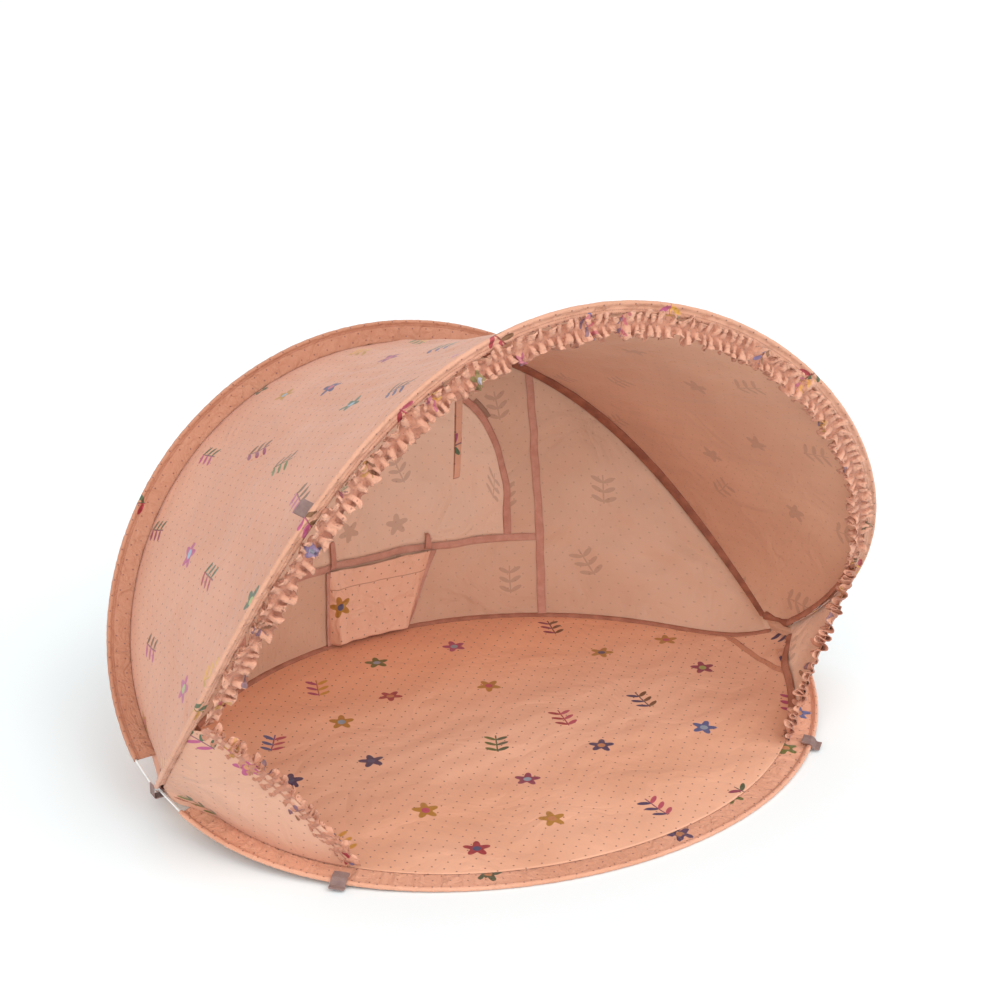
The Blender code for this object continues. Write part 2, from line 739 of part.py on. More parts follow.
def build_wing_frill(side, name):
    """The gathered strip along a wing's free edge, which swings in and out in folds."""
    steps = WING_FRILL_FOLDS * FOLD_STEPS
    grid = [[], [], []]
    for k in range(steps + 1):
        up = WING_FRILL_FOOT_SHARE + WING_FRILL_LENGTH_SHARE * k / steps
        edge = wing_point(side, 1, up)
        inner = wing_point(side, 1 - 1 / WING_COLUMNS, up)
        ahead = (edge - inner) / np.linalg.norm(edge - inner)
        rise = wing_point(side, 1, 1) - wing_point(side, 1, 0)
        square = np.cross(ahead, rise / np.linalg.norm(rise))
        swing = fold_share(k) * FRILL_SWING
        root = edge + ahead * (WING_FRILL_GAP / 2 + CLOTH / 4)
        grid[0].append(root)
        fold = FRILL_WIDTH * FRILL_FOLD_SHARE
        grid[1].append(root + ahead * fold + square * swing * FOLD_SWING_SHARE)
        grid[2].append(root + ahead * FRILL_WIDTH * FRILL_EDGE_SHARE + square * swing)
    sheet(name, grid, FRILL_THICKNESS, color=DEEP_PEACH)


def build_arch_frill():
    """The gathered strip round the arch: it hangs inward from the sleeve in folds."""
    first = front_arch.share_of_distance(WING_ARCH_END + FRILL_SWING)
    steps = ARCH_FRILL_FOLDS * FOLD_STEPS
    rows = (
        (FRILL_START, FRILL_LIFT, 0.0),
        (FRONT_ARCH_BAND + PANEL_SEAM, SEAM_LIFT_SHARE * FRILL_LIFT, SEAM_SWING_SHARE),
        (FRILL_START + FRILL_WIDTH, FRILL_LIFT, 1.0),
    )
    grid = [[], [], []]
    for k in range(steps + 1):
        share = first + (1 - 2 * first) * k / steps
        for line, (inset, level, part) in zip(grid, rows, strict=True):
            lift = level + fold_share(k) * FRILL_SWING * part
            line.append(front_arch.at(share, inset, lift))
    sheet("arch_frill", grid, FRILL_THICKNESS, color=DEEP_PEACH)


def build_crossing_loops():
    """A webbing cradle at each side, under and beside the crossed wires."""
    reach = CROSSING_LOOP_LENGTH / 2
    spread = reach * SUN_WIDEST_RISE / (SUN_GROUND_REACH + SUN_WIDEST_RISE)
    skin = WIRE_RADIUS + CROSSING_LOOP_CLEARANCE + WEBBING / 2
    outer = CROSSING_HALF_SPAN + WIRE_STEP + spread + skin
    inner = CROSSING_HALF_SPAN - WIRE_STEP - spread - skin
    base = CROSSING_HEIGHT - reach * tan(SUN_START_ANGLE) - skin - CROSSING_LOOP_SLACK
    top = CROSSING_HEIGHT + reach / 2
    for side, name in ((-1, "left"), (1, "right")):
        profile = [(outer, top), (outer, base), (inner, base), (inner, top)]
        route = [(side * x, CROSSING_LINE_Y, z) for x, z in profile]
        strip(f"crossing_loop_{name}", route, CROSSING_LOOP_LENGTH, WEBBING, (0, 1, 0), color=WEBBING_MAUVE)


def build_peg_loops():
    """A doubled webbing loop at each front corner, laid over the sleeve to the ground."""
    skin = SLEEVE_RADIUS / cos(pi / 8) + PEG_LOOP_CLEARANCE + WEBBING
    ends = FRONT_GROUND_BAND - WALL_BAND_LAP - PANEL_LIFT - WEBBING
    profile = (
        (ends - PEG_LOOP_TAIL, skin),
        (-skin * tan(pi / 8), skin),
        (-skin, skin * tan(pi / 8)),
        (-PEG_LOOP_STAND, GROUND_DROOP + WEBBING / 2),
    )
    centre = front_ground.share_of_distance(WING_GROUND_END)
    for side, name in ((-1, "left"), (1, "right")):
        middle = centre if side < 0 else 1 - centre
        span = front_ground.at(middle + LOOP_STEP, 0, 0) - front_ground.at(middle - LOOP_STEP, 0, 0)
        way = span / np.linalg.norm(span)
        route = [front_ground.at(middle, n, b) for n, b in profile]
        strip(f"peg_loop_{name}", route, PEG_LOOP_WIDTH, 2 * WEBBING, way, color=WEBBING_MAUVE)


def build_guy_loops():
    """A folded webbing loop on each side of the roof, sewn in beside the arch sleeve."""
    centre = front_arch.share_of_distance(GUY_LOOP_REACH)
    for side, name in ((-1, "left"), (1, "right")):
        middle = centre if side < 0 else 1 - centre
        root = roof_point(middle, 1)
        behind = roof_point(middle, GUY_LOOP_REAR_SHARE) - root
        behind /= np.linalg.norm(behind)
        ends = [roof_point(middle + step, GUY_LOOP_MIDDLE_SHARE) for step in (-LOOP_STEP, LOOP_STEP)]
        along = ends[1] - ends[0]
        along /= np.linalg.norm(along)
        out = np.cross(along, behind)
        out *= 1 if out[2] > 0 else -1
        low = CLOTH / 2 + PEG_LOOP_CLEARANCE + WEBBING / 2 + SEAM_GAP
        foot = root + behind * (CLOTH + WEBBING) + out * low
        away = behind * cos(GUY_LOOP_LEAN) + out * sin(GUY_LOOP_LEAN)
        above = out * cos(GUY_LOOP_LEAN) - behind * sin(GUY_LOOP_LEAN)
        apart = WEBBING + GUY_LOOP_OPEN
        fold = (GUY_LOOP_LENGTH + GUY_LOOP_OPEN / 2, apart / 2)
        profile = ((0, 0), (GUY_LOOP_LENGTH, 0), fold, (GUY_LOOP_LENGTH, apart), (0, apart))
        route = [foot + away * a + above * b for a, b in profile]
        strip(f"guy_loop_{name}", route, GUY_LOOP_WIDTH, WEBBING, along, color=WEBBING_MAUVE)


def build_roof_strap():
    """A cloth patch under the roof's middle and the folded strap that hangs from it."""
    anchor = roof_point(0.5, STRAP_ROOF_SHARE)
    ahead = roof_point(0.5, STRAP_ROOF_SHARE + STRAP_ROOF_STEP) - anchor
    ahead /= np.linalg.norm(ahead)
    down = np.cross(ahead, (1, 0, 0))
    down *= -1 if down[2] > 0 else 1
    below = anchor + down * (CLOTH + PANEL_SEAM) + np.array([STRAP_SHIFT, 0, 0])
    route = [below - ahead * PATCH_HALF_SIZE, below + ahead * PATCH_HALF_SIZE]
    strip("strap_patch", route, 2 * PATCH_HALF_SIZE, CLOTH, (1, 0, 0), color=DEEP_PEACH)
    top = below + np.array([0, 0, -CLOTH / 2 - SEAM_GAP - abs(ahead[2]) * STRAP_THICKNESS])
    foot = top - np.array([0, 0, STRAP_LENGTH])
    strip("roof_strap", [top, foot], STRAP_WIDTH, STRAP_THICKNESS, (1, 0, 0), color=DEEP_PEACH)


def build_frame():
    sleeve("front_arch_sleeve", front_arch, FRONT_ARCH_BAND, 0, color=PEACH)
    sleeve("rear_arch_sleeve", rear_arch, REAR_ARCH_BAND, 0, color=PEACH)
    sleeve("front_ground_sleeve", front_ground, FRONT_GROUND_BAND, GROUND_DROOP, color=DEEP_PEACH)
    sleeve("rear_ground_sleeve", rear_ground, REAR_GROUND_BAND, GROUND_DROOP, color=DEEP_PEACH)
    wire("front_arch_wire", front_arch)
    wire("rear_arch_wire", rear_arch)
    wire("front_ground_wire", front_ground)
    wire("rear_ground_wire", rear_ground)
    ferrule("shade_hoop_ferrule", front_ground)
    ferrule("sun_hoop_ferrule", rear_ground)


def hang_on_pivots():
    """Parents the pieces that fold together to an empty on the crossing line."""
    place = (0, CROSSING_LINE_Y, CROSSING_HEIGHT)
    for group, names in FOLDING_PIECES.items():
        pivot = bpy.data.objects.new(f"{group}_pivot", None)
        pivot.location = place
        PARTS.objects.link(pivot)
        for name in names:
            piece = bpy.data.objects[name]
            piece.parent = pivot
            piece.matrix_parent_inverse = Matrix.Translation(place).inverted()


def main():
    build_frame()
    build_roof()
    build_back_wall()
    build_pocket()
    build_ties()
    build_floor()
    build_wings()
    build_arch_frill()
    build_crossing_loops()
    build_peg_loops()
    build_guy_loops()
    build_roof_strap()
    hang_on_pivots()


main()
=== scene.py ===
"""A child's pop-up beach tent, seen from the front left: two sprung wire hoops cross at the
sides and hold a printed cloth shell with a ruffle round its opening."""

import math

import bmesh
import bpy
import numpy as np
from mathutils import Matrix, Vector


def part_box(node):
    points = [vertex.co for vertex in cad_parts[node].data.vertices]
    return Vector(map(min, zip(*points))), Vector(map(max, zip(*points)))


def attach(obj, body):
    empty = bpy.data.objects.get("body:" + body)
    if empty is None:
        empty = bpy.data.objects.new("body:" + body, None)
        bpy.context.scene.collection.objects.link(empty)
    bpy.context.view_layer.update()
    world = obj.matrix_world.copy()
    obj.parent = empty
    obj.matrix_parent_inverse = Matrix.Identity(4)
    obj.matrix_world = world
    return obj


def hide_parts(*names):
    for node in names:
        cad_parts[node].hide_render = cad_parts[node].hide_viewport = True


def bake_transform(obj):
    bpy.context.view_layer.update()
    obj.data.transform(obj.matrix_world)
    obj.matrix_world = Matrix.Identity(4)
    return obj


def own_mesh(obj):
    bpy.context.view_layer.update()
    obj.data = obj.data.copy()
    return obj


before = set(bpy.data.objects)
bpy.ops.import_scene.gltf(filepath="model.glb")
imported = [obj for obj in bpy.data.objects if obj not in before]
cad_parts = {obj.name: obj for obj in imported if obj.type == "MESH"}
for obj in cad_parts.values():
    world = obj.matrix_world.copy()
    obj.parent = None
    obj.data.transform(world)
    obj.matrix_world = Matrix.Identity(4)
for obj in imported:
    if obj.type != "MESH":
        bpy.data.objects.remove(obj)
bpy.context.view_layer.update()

# Camera: to the left of the opening and a little above the roof, with a long lens aimed at
# the tent's middle.
azimuth, elevation = math.radians(-29.35), math.radians(21.70)
target = Vector((0.00385, -0.0074, 0.38958))
level = math.cos(elevation)
away = Vector((math.sin(azimuth) * level, -math.cos(azimuth) * level, math.sin(elevation)))
camera = bpy.data.objects.new("camera", bpy.data.cameras.new("camera"))
bpy.context.scene.collection.objects.link(camera)
CAMERA_DISTANCE = 3.0186
camera.location = target + away * CAMERA_DISTANCE
camera.rotation_euler = away.to_track_quat("Z", "Y").to_euler()
camera.data.lens = 73.83
camera.data.sensor_width = 36
bpy.context.scene.camera = camera
bpy.context.scene.view_settings.view_transform = "Standard"


# Floor and light: a white studio floor that keeps a soft shadow, a broad light from the
# front right above, a second one from the left, and a white surround that is darker behind.
def add(tree, kind, inputs=None, **settings):
    """Adds a shader node, sets its settings and fills or links its inputs."""
    node = tree.nodes.new("ShaderNode" + kind)
    for key, value in settings.items():
        setattr(node, key, value)
    for key, value in (inputs or {}).items():
        if isinstance(value, bpy.types.NodeSocket):
            tree.links.new(value, node.inputs[key])
        else:
            node.inputs[key].default_value = value
    return node


def calc(tree, operation, *values):
    """A Math node; values are numbers or sockets."""
    return add(tree, "Math", dict(enumerate(values)), operation=operation).outputs[0]


def new_material(name, **constants):
    """A material and its Principled shader, with constant values set on the sockets."""
    material = bpy.data.materials.new(name)
    material.use_nodes = True
    shader = material.node_tree.nodes["Principled BSDF"]
    for key, value in constants.items():
        shader.inputs[key.replace("_", " ").title()].default_value = value
    return material, material.node_tree, shader


stage_mesh = bmesh.new()
bmesh.ops.create_grid(stage_mesh, x_segments=1, y_segments=1, size=30)
bmesh.ops.translate(stage_mesh, verts=stage_mesh.verts, vec=(0, 0, -0.0006))
floor_data = bpy.data.meshes.new("studio_floor")
stage_mesh.to_mesh(floor_data)
stage_mesh.free()
studio_floor = bpy.data.objects.new("studio_floor", floor_data)
bpy.context.scene.collection.objects.link(studio_floor)
studio_paint, tree, shader = new_material("studio_paint", roughness=0.9)
shader.inputs["Base Color"].default_value = (0.87, 0.93, 0.945, 1)
shader.inputs["Specular IOR Level"].default_value = 0.0
studio_floor.data.materials.append(studio_paint)

world = bpy.data.worlds.new("studio")
bpy.context.scene.world = world
world.use_nodes = True
tree = world.node_tree
background = tree.nodes["Background"]
rays = add(tree, "LightPath").outputs["Is Camera Ray"]
ways = add(tree, "TexCoord").outputs["Generated"]
behind = add(tree, "SeparateXYZ", {"Vector": ways}).outputs["Y"]
around = calc(tree, "MULTIPLY_ADD", behind, -0.20, 0.92)
lit = add(tree, "Mix", {0: rays, 2: around, 3: 1.10}).outputs[0]
tree.links.new(lit, background.inputs["Strength"])
background.inputs["Color"].default_value = (1, 1, 1, 1)


def soft_light(name, place, strength, spread):
    """An even light from this direction, softened over a wide angle."""
    light = bpy.data.objects.new(name, bpy.data.lights.new(name, "SUN"))
    bpy.context.scene.collection.objects.link(light)
    light.location = place
    light.rotation_euler = Vector(place).to_track_quat("Z", "Y").to_euler()
    light.data.energy = strength
    light.data.angle = math.radians(spread)


soft_light("key_light", (1.1, -2.0, 2.6), 0.85, 50)
soft_light("fill_light", (-2.2, -2.4, 1.7), 0.85, 60)


# The hoops: the same two ovals, bent about the line through the crossings, that carry the
# solids. Every cloth place is found from its share along a half hoop, an inset towards the
# hoop's middle and a lift off the cloth, all in metres.
CROSSING_HALF_SPAN = 0.550
CROSSING_HEIGHT = 0.059
CROSSING_LINE_Y = -0.0074
WIRE_STEP = 0.0023
WIRE_REST = 0.0033


class Hoop:
    """An oval hoop, drawn flat and bent about the crossing line."""

    def __init__(self, widest, arch_reach, ground_reach, rise, angles, ease, side):
        self.widest = widest
        self.arch_axis = arch_reach - widest
        self.ground_axis = ground_reach + widest
        self.rise = rise
        self.side = side
        self.power = math.tan(angles[0]) * rise / (CROSSING_HEIGHT - WIRE_REST)
        self.reach = np.linspace(0, arch_reach + 2 * WIRE_REST, 401)
        share = np.minimum(self.reach / arch_reach, 1)
        self.angle = angles[0] + (angles[1] - angles[0]) * (1 - (1 - share) ** ease)
        middle = (self.angle[1:] + self.angle[:-1]) / 2
        step = np.diff(self.reach)
        self.forward = np.concatenate([[0], np.cumsum(step * np.cos(middle))])
        self.upward = np.concatenate([[0], np.cumsum(step * np.sin(middle))])

    def turn_at(self, distance):
        beyond = distance - self.widest
        return math.asin(beyond / (self.ground_axis if beyond < 0 else self.arch_axis))

    def place(self, x, distance, lift):
        """Bends points of the flat drawing to their places."""
        drop = CROSSING_HEIGHT - WIRE_REST
        left = np.maximum(0.0, 1 + np.minimum(distance, 0) / self.rise)
        fall = -np.arctan(drop * self.power / self.rise * left ** (self.power - 1))
        up = distance >= 0
        angle = np.where(up, np.interp(distance, self.reach, self.angle), fall)
        away = np.where(up, np.interp(distance, self.reach, self.forward), -distance)
        risen = CROSSING_HEIGHT + np.interp(distance, self.reach, self.upward)
        height = np.where(up, risen, WIRE_REST + drop * left**self.power)
        side = np.where(up, self.side, -self.side)
        y = CROSSING_LINE_Y + side * (away - lift * np.sin(angle))
        return np.stack([x, y, height + lift * np.cos(angle)], axis=-1)

    def point(self, turn, step, inset, lift):
        """Places at angles of the oval. step widens the hoop where the wires pass."""
        axis = np.where(np.sin(turn) > 0, self.arch_axis, self.ground_axis)
        half = (CROSSING_HALF_SPAN + step) / math.sqrt(1 - (self.widest / self.ground_axis) ** 2)
        across, ahead = np.cos(turn) / half, np.sin(turn) / axis
        size = np.hypot(across, ahead)
        x = half * np.cos(turn) - inset * across / size
        distance = self.widest + axis * np.sin(turn) - inset * ahead / size
        return self.place(x, distance, lift)


class Half:
    """One half of a hoop: along it, shares run from its left crossing to its right one."""

    def __init__(self, hoop, arch, mouth, step):
        self.hoop, self.arch, self.step = hoop, arch, step
        self.sleeve_ends = self.run(mouth)
        first, last = self.run(mouth / 2)
        inner = np.linspace(*self.sleeve_ends, 32)
        self.turns = np.array([first, *inner, last])

    def run(self, distance):
        last = self.hoop.turn_at(distance if self.arch else -distance)
        return (math.pi if self.arch else -math.pi) - last, last

    def sleeve_at(self, share, inset, lift):
        first, last = self.sleeve_ends
        return self.hoop.point(first + (last - first) * share, self.step, inset, lift)

    def at(self, share, inset, lift):
        """Places along the panels' edge."""
        shares = np.linspace(0, 1, len(self.turns))
        return self.hoop.point(np.interp(share, shares, self.turns), self.step, inset, lift)

    def share_of_distance(self, distance):
        sense = -1 if self.arch else 1
        places = np.linspace(0, 1, len(self.turns))
        return float(np.interp(sense * self.run(distance)[0], sense * self.turns, places))

    def share_of_width(self, width_share, inset):
        shares = np.linspace(0, 1, 401)
        across = self.at(shares, inset, 0)[:, 0]
        across = np.maximum.accumulate(across / across[-1] * (1 - 1e-6) + shares * 1e-6)
        return np.where(np.asarray(width_share) >= 1, 1.0, np.interp(width_share, across, shares))


sun_angles = (math.radians(36.5), math.radians(104.7))
shade_angles = (math.radians(18.3), math.radians(69.9))
sun_hoop = Hoop(0.1295, 0.775, 0.427, 0.222, sun_angles, 1.0, -1)
shade_hoop = Hoop(0.0829, 0.673, 0.416, 0.416, shade_angles, 1.4, 1)
front_arch = Half(sun_hoop, True, 0.031, WIRE_STEP)
rear_ground = Half(sun_hoop, False, 0.050, -WIRE_STEP)
rear_arch = Half(shade_hoop, True, 0.060, WIRE_STEP)
front_ground = Half(shade_hoop, False, 0.050, -WIRE_STEP)
FRONT_ARCH_BAND, REAR_ARCH_BAND = 0.014, 0.034
FRONT_GROUND_BAND, REAR_GROUND_BAND = 0.040, 0.020
GROUND_DROOP = 0.0006 - WIRE_REST
FOOT_LIFT = GROUND_DROOP + 0.0012 + 0.0011


# Roof: one panel of thin printed polyester, sewn along both arch sleeves. It sags a little
# between the arches; its inside shows the print only as a ghost through the cloth.
def waves(x, y, size, seed, lean=(0.0, math.pi), count=9):
    """Soft random waves of about this size, running in a range of directions."""
    chance = np.random.default_rng(seed)
    total = 0
    for _ in range(count):
        turn, phase = chance.uniform(*lean), chance.uniform(0, 2 * math.pi)
        pitch = 2 * math.pi / size * chance.uniform(0.6, 1.6)
        total = total + np.sin((x * np.cos(turn) + y * np.sin(turn)) * pitch + phase)
    return total / math.sqrt(count)


def lengths(lines):
    """Running lengths along the first axis of an array of points."""
    steps = np.linalg.norm(np.diff(lines, axis=0), axis=-1)
    return np.concatenate([np.zeros((1, *steps.shape[1:])), np.cumsum(steps, axis=0)])


def unit(ways):
    """Ways as unit vectors."""
    return ways / np.linalg.norm(ways, axis=-1, keepdims=True)


def between(first, last, share):
    """Places at a share of the way between two others."""
    return first * (1 - share[..., None]) + last * share[..., None]


def flat_lengths(points):
    """A flat pattern from lengths along the middle row and down each column."""
    middle = len(points) // 2
    across = lengths(points[middle])
    down = lengths(points)
    u = np.broadcast_to(across - across[len(across) // 2], down.shape)
    return np.stack([u, down - down[middle]], axis=-1)


def cloth(name, place, columns, rows, flat, out, closed=False, fold_shade=None):
    """A sheet of cloth made from a grid. place turns shares across and up it into points,
    flat gives the pattern's own coordinates, and out says which side is the right side."""
    shares = np.meshgrid(np.linspace(0, 1, columns + 1), np.linspace(0, 1, rows + 1))
    points = place(*shares)
    mesh = bmesh.new()
    bmesh.ops.create_grid(mesh, x_segments=columns, y_segments=rows, size=1)
    for vert, point in zip(mesh.verts, points.reshape(-1, 3), strict=True):
        vert.co = point
    mesh.verts.index_update()
    pattern = flat(points).reshape(-1, 2)
    # A share of painted fold shade at each point, 0 unless the piece gives one.
    shade = mesh.verts.layers.float.new("fold_shade")
    if fold_shade is not None:
        for vert, value in zip(mesh.verts, fold_shade(*shares).reshape(-1), strict=True):
            vert[shade] = value
    layer = mesh.loops.layers.uv.new("pattern")
    for face in mesh.faces:
        face.smooth = True
        for loop in face.loops:
            loop[layer].uv = pattern[loop.vert.index]
    mesh.normal_update()
    facing = sum((f.normal * f.calc_area() for f in mesh.faces), Vector())
    if closed:
        bmesh.ops.remove_doubles(mesh, verts=mesh.verts, dist=1e-6)
        bmesh.ops.recalc_face_normals(mesh, faces=mesh.faces)
    elif facing.dot(Vector(out)) < 0:
        bmesh.ops.reverse_faces(mesh, faces=mesh.faces)
    data = bpy.data.meshes.new(name)
    mesh.to_mesh(data)
    mesh.free()
    obj = bpy.data.objects.new(name, data)
    bpy.context.scene.collection.objects.link(obj)
    return obj


def clad(obj, thickness, *materials, offset=0.0):
    """Gives a sheet its material and its thickness. A second material is the one on its back."""
    for material in materials:
        obj.data.materials.append(material)
    solidify = obj.modifiers.new("thickness", "SOLIDIFY")
    solidify.thickness = thickness
    solidify.offset = offset
    solidify.material_offset = len(materials) - 1


def move(tree, operation, *values):
    """A Vector Math node; values are vectors or sockets."""
    node = add(tree, "VectorMath", dict(enumerate(values)), operation=operation)
    return node.outputs["Value" if operation == "LENGTH" else "Vector"]


def mix(tree, share, first, second):
    """Mixes two colours by a share."""
    node = add(tree, "Mix", {0: share, 6: first, 7: second}, data_type="RGBA")
    return node.outputs[2]


def fade(tree, value, low, high, start=0.0, end=1.0):
    """Turns a value from low to high into a share from start to end, smoothly."""
    inputs = {0: value, 1: low, 2: high, 3: start, 4: end}
    return add(tree, "MapRange", inputs, interpolation_type="SMOOTHSTEP").outputs[0]


def noise(tree, vector, scale, detail=3.0, roughness=0.5, distortion=0.0):
    inputs = {"Vector": vector, "Scale": scale, "Detail": detail}
    inputs |= {"Roughness": roughness, "Distortion": distortion}
    return add(tree, "TexNoise", inputs).outputs["Fac"]


def rgb(code):
    """A linear colour from its sRGB hex code."""
    parts = [int(code[i : i + 2], 16) / 255 for i in (0, 2, 4)]
    return (*[p / 12.92 if p < 0.04045 else ((p + 0.055) / 1.055) ** 2.4 for p in parts], 1.0)


def wall_coords(tree):
    """The cloth's own flat coordinates in metres, and Object coordinates."""
    flat = add(tree, "UVMap", uv_map="pattern").outputs["UV"]
    return flat, add(tree, "TexCoord").outputs["Object"]


def ellipse(tree, x, y, half_width, half_height):
    """How far a place is out of an ellipse's middle: 1 on its outline."""
    across = calc(tree, "POWER", calc(tree, "DIVIDE", x, half_width), 2.0)
    return calc(tree, "ADD", across, calc(tree, "POWER", calc(tree, "DIVIDE", y, half_height), 2.0))


def scattered_print(tree, flat, pitch=0.150, scatter=0.55):
    """Scattered leaf sprigs and small flowers: their shape, their second tone, their chances."""
    spots = move(tree, "SCALE", flat)
    spots.node.inputs["Scale"].default_value = 1 / pitch
    cells = add(tree, "TexVoronoi", {"Vector": spots, "Scale": 1.0, "Randomness": scatter})
    cells.voronoi_dimensions = "2D"
    local = move(tree, "SUBTRACT", spots, cells.outputs["Position"])
    chance = add(tree, "SeparateColor", {"Color": cells.outputs["Color"]}).outputs
    turn = calc(tree, "MULTIPLY_ADD", chance["Red"], 1.2, -0.6)
    turned = add(tree, "VectorRotate", {"Vector": local, "Angle": turn}, rotation_type="Z_AXIS")
    place = add(tree, "SeparateXYZ", {"Vector": turned.outputs[0]}).outputs
    x, y = [calc(tree, "MULTIPLY", place[axis], pitch) for axis in ("X", "Y")]
    away = calc(tree, "SQRT", ellipse(tree, x, y, 1.0, 1.0))
    lobes = calc(tree, "COSINE", calc(tree, "MULTIPLY", calc(tree, "ARCTAN2", y, x), 5.0))
    rim = calc(tree, "SUBTRACT", calc(tree, "MULTIPLY_ADD", lobes, 0.0050, 0.0150), away)
    petals = fade(tree, rim, -0.0004, 0.0004)
    side = calc(tree, "SUBTRACT", calc(tree, "ABSOLUTE", x), 0.0092)
    rise = calc(tree, "WRAP", y, 0.0084, -0.0084)
    row = calc(tree, "SUBTRACT", rise, calc(tree, "MULTIPLY", side, 0.5))
    within = calc(tree, "LESS_THAN", calc(tree, "ABSOLUTE", y), 0.0252)
    leaves = calc(tree, "MULTIPLY", fade(tree, ellipse(tree, side, row, 0.0088, 0.0042), 1.1, 0.9), within)
    stem = calc(tree, "MULTIPLY", calc(tree, "LESS_THAN", calc(tree, "ABSOLUTE", x), 0.0012), within)
    flower = calc(tree, "GREATER_THAN", chance["Green"], 0.45)
    shape = add(tree, "Mix", {0: flower, 2: calc(tree, "MAXIMUM", leaves, stem), 3: petals}).outputs[0]
    half = calc(tree, "GREATER_THAN", x, 0.0)
    heart = fade(tree, away, 0.0066, 0.0056)
    second = add(tree, "Mix", {0: flower, 2: half, 3: heart}).outputs[0]
    return shape, second, chance["Blue"], chance["Green"]


def dotted(tree, flat, pitch=0.0250, radius=0.0013):
    """Small dots on an offset grid."""
    found = []
    for shift in (0.0, 0.5):
        spots = move(tree, "MULTIPLY_ADD", flat, (1 / pitch, 1 / pitch, 0), (shift, shift, 0))
        part = move(tree, "SUBTRACT", move(tree, "FRACTION", spots), (0.5, 0.5, 0))
        found.append(move(tree, "LENGTH", part))
    size = radius / pitch
    return fade(tree, calc(tree, "MINIMUM", *found), size * 1.2, size * 0.8)


FOIL = ("a3243f", "2f3568", "b98a34", "2f5c40", "3f63a2", "b0487c", "8e2f5c", "56702f")
SECOND_FOIL = ("2f5c40", "d9a441", "6d4a2a", "c0506e", "8fb0c8", "3a4f7c", "9fb46a", "c98a5c")


def ramp(tree, value, codes):
    """Picks one of some colours by a share."""
    node = add(tree, "ValToRGB", {0: value})
    node.color_ramp.interpolation = "CONSTANT"
    stops = node.color_ramp.elements
    while len(stops) < len(codes):
        stops.new(1.0)
    for k, (stop, code) in enumerate(zip(stops, codes, strict=True)):
        stop.position = k / len(codes)
        stop.color = rgb(code)
    return node.outputs["Color"]


def printed_cloth(name, ground, shade, strength, dots, seed, wrinkle=0.0022, size=11.0, edge=None):
    """Thin plain-weave cloth: its ground colour, its print at a strength, and its creases.
    A weak print is the one on the other side, which shows through as brown shapes."""
    material, tree, shader = new_material(name, roughness=0.62)
    flat, place = wall_coords(tree)
    shift = add(tree, "Mapping", {"Vector": place, "Location": (seed * 3.1, seed * 1.7, 0)})
    cloud = noise(tree, shift.outputs[0], 5.0, 3.0, 0.55)
    colour = mix(tree, fade(tree, cloud, 0.3, 0.7), rgb(shade), rgb(ground))
    if edge is not None:
        colour = edge(tree, flat, colour)
    offset = move(tree, "ADD", flat, (seed * 0.731, seed * 0.417, 0))
    spot = calc(tree, "MULTIPLY", dotted(tree, offset), dots)
    colour = mix(tree, spot, colour, rgb("6d4442"))
    shape, second, chance, other = scattered_print(tree, offset)
    paint = rgb("8f6a5c")
    shine = calc(tree, "MULTIPLY", shape, strength)
    if strength > 0.5:
        paint = mix(tree, second, ramp(tree, chance, FOIL), ramp(tree, other, SECOND_FOIL))
        tree.links.new(calc(tree, "MULTIPLY", shine, 0.45), shader.inputs["Metallic"])
    colour = mix(tree, shine, colour, paint)
    tree.links.new(colour, shader.inputs["Base Color"])
    tree.links.new(calc(tree, "MULTIPLY_ADD", shine, -0.24, 0.62), shader.inputs["Roughness"])
    creases = noise(tree, shift.outputs[0], size, 4.0, 0.5, 0.8)
    ridges = calc(tree, "ABSOLUTE", calc(tree, "SUBTRACT", creases, 0.5))
    # The threads are too fine to show, so the weave is drawn as a grain about 1 mm coarse.
    threads = add(tree, "Mapping", {"Vector": flat, "Scale": (900, 260, 1)}).outputs[0]
    cross = add(tree, "Mapping", {"Vector": flat, "Scale": (260, 900, 1)}).outputs[0]
    weave = calc(tree, "ADD", noise(tree, threads, 1.0, 1.0), noise(tree, cross, 1.0, 1.0))
    bump = add(tree, "Bump", {"Height": ridges, "Distance": wrinkle * 6, "Strength": 0.8})
    fine = {"Height": weave, "Distance": 0.0003, "Strength": 0.25, "Normal": bump.outputs[0]}
    tree.links.new(add(tree, "Bump", fine).outputs[0], shader.inputs["Normal"])
    shader.inputs["Sheen Weight"].default_value = 0.12
    shader.inputs["Specular IOR Level"].default_value = 0.35
    return material


ROOF_SAG = 0.014
CLOTH_THICKNESS = 0.0006


def towards_line(points, amount):
    """Moves points towards the crossing line, as cloth between two arches draws in."""
    way = np.array([0, CROSSING_LINE_Y, CROSSING_HEIGHT]) - points * np.array([0, 1, 1])
    return points + unit(way) * amount[..., None]


def roof_place(share, across, lap=0.003):
    """Places on the roof: along the arches, and from 0 at the rear to 1 at the front."""
    rear = rear_arch.at(share, REAR_ARCH_BAND + 0.0008 - lap, 0.0014)
    front = front_arch.at(share, FRONT_ARCH_BAND + 0.0008 - lap, 0.0014)
    points = between(rear, front, across)
    free = 4 * across * (1 - across) * np.sin(math.pi * share)
    along, depth = share * 2.1, across * 0.42
    soft = 0.0022 * waves(along, depth, 0.16, 3) + 0.0013 * waves(along, depth, 0.06, 4, (-0.5, 0.5))
    return towards_line(points, ROOF_SAG * free + soft * np.minimum(1, 4 * free + 0.12))


roof = cloth("roof", roof_place, 300, 64, flat_lengths, (0, 0, 1))
shell_outside = printed_cloth("shell_outside", "d39a80", "cb9177", 0.9, 0.75, 1)
# Painted light: the inside copy is paler than the outside, for the light that comes through the thin cloth.
shell_inside = printed_cloth("shell_inside", "d9ac90", "cfa085", 0.34, 0.25, 1, 0.0014)
clad(roof, CLOTH_THICKNESS, shell_outside, shell_inside)
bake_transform(roof)
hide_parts("roof_panel")


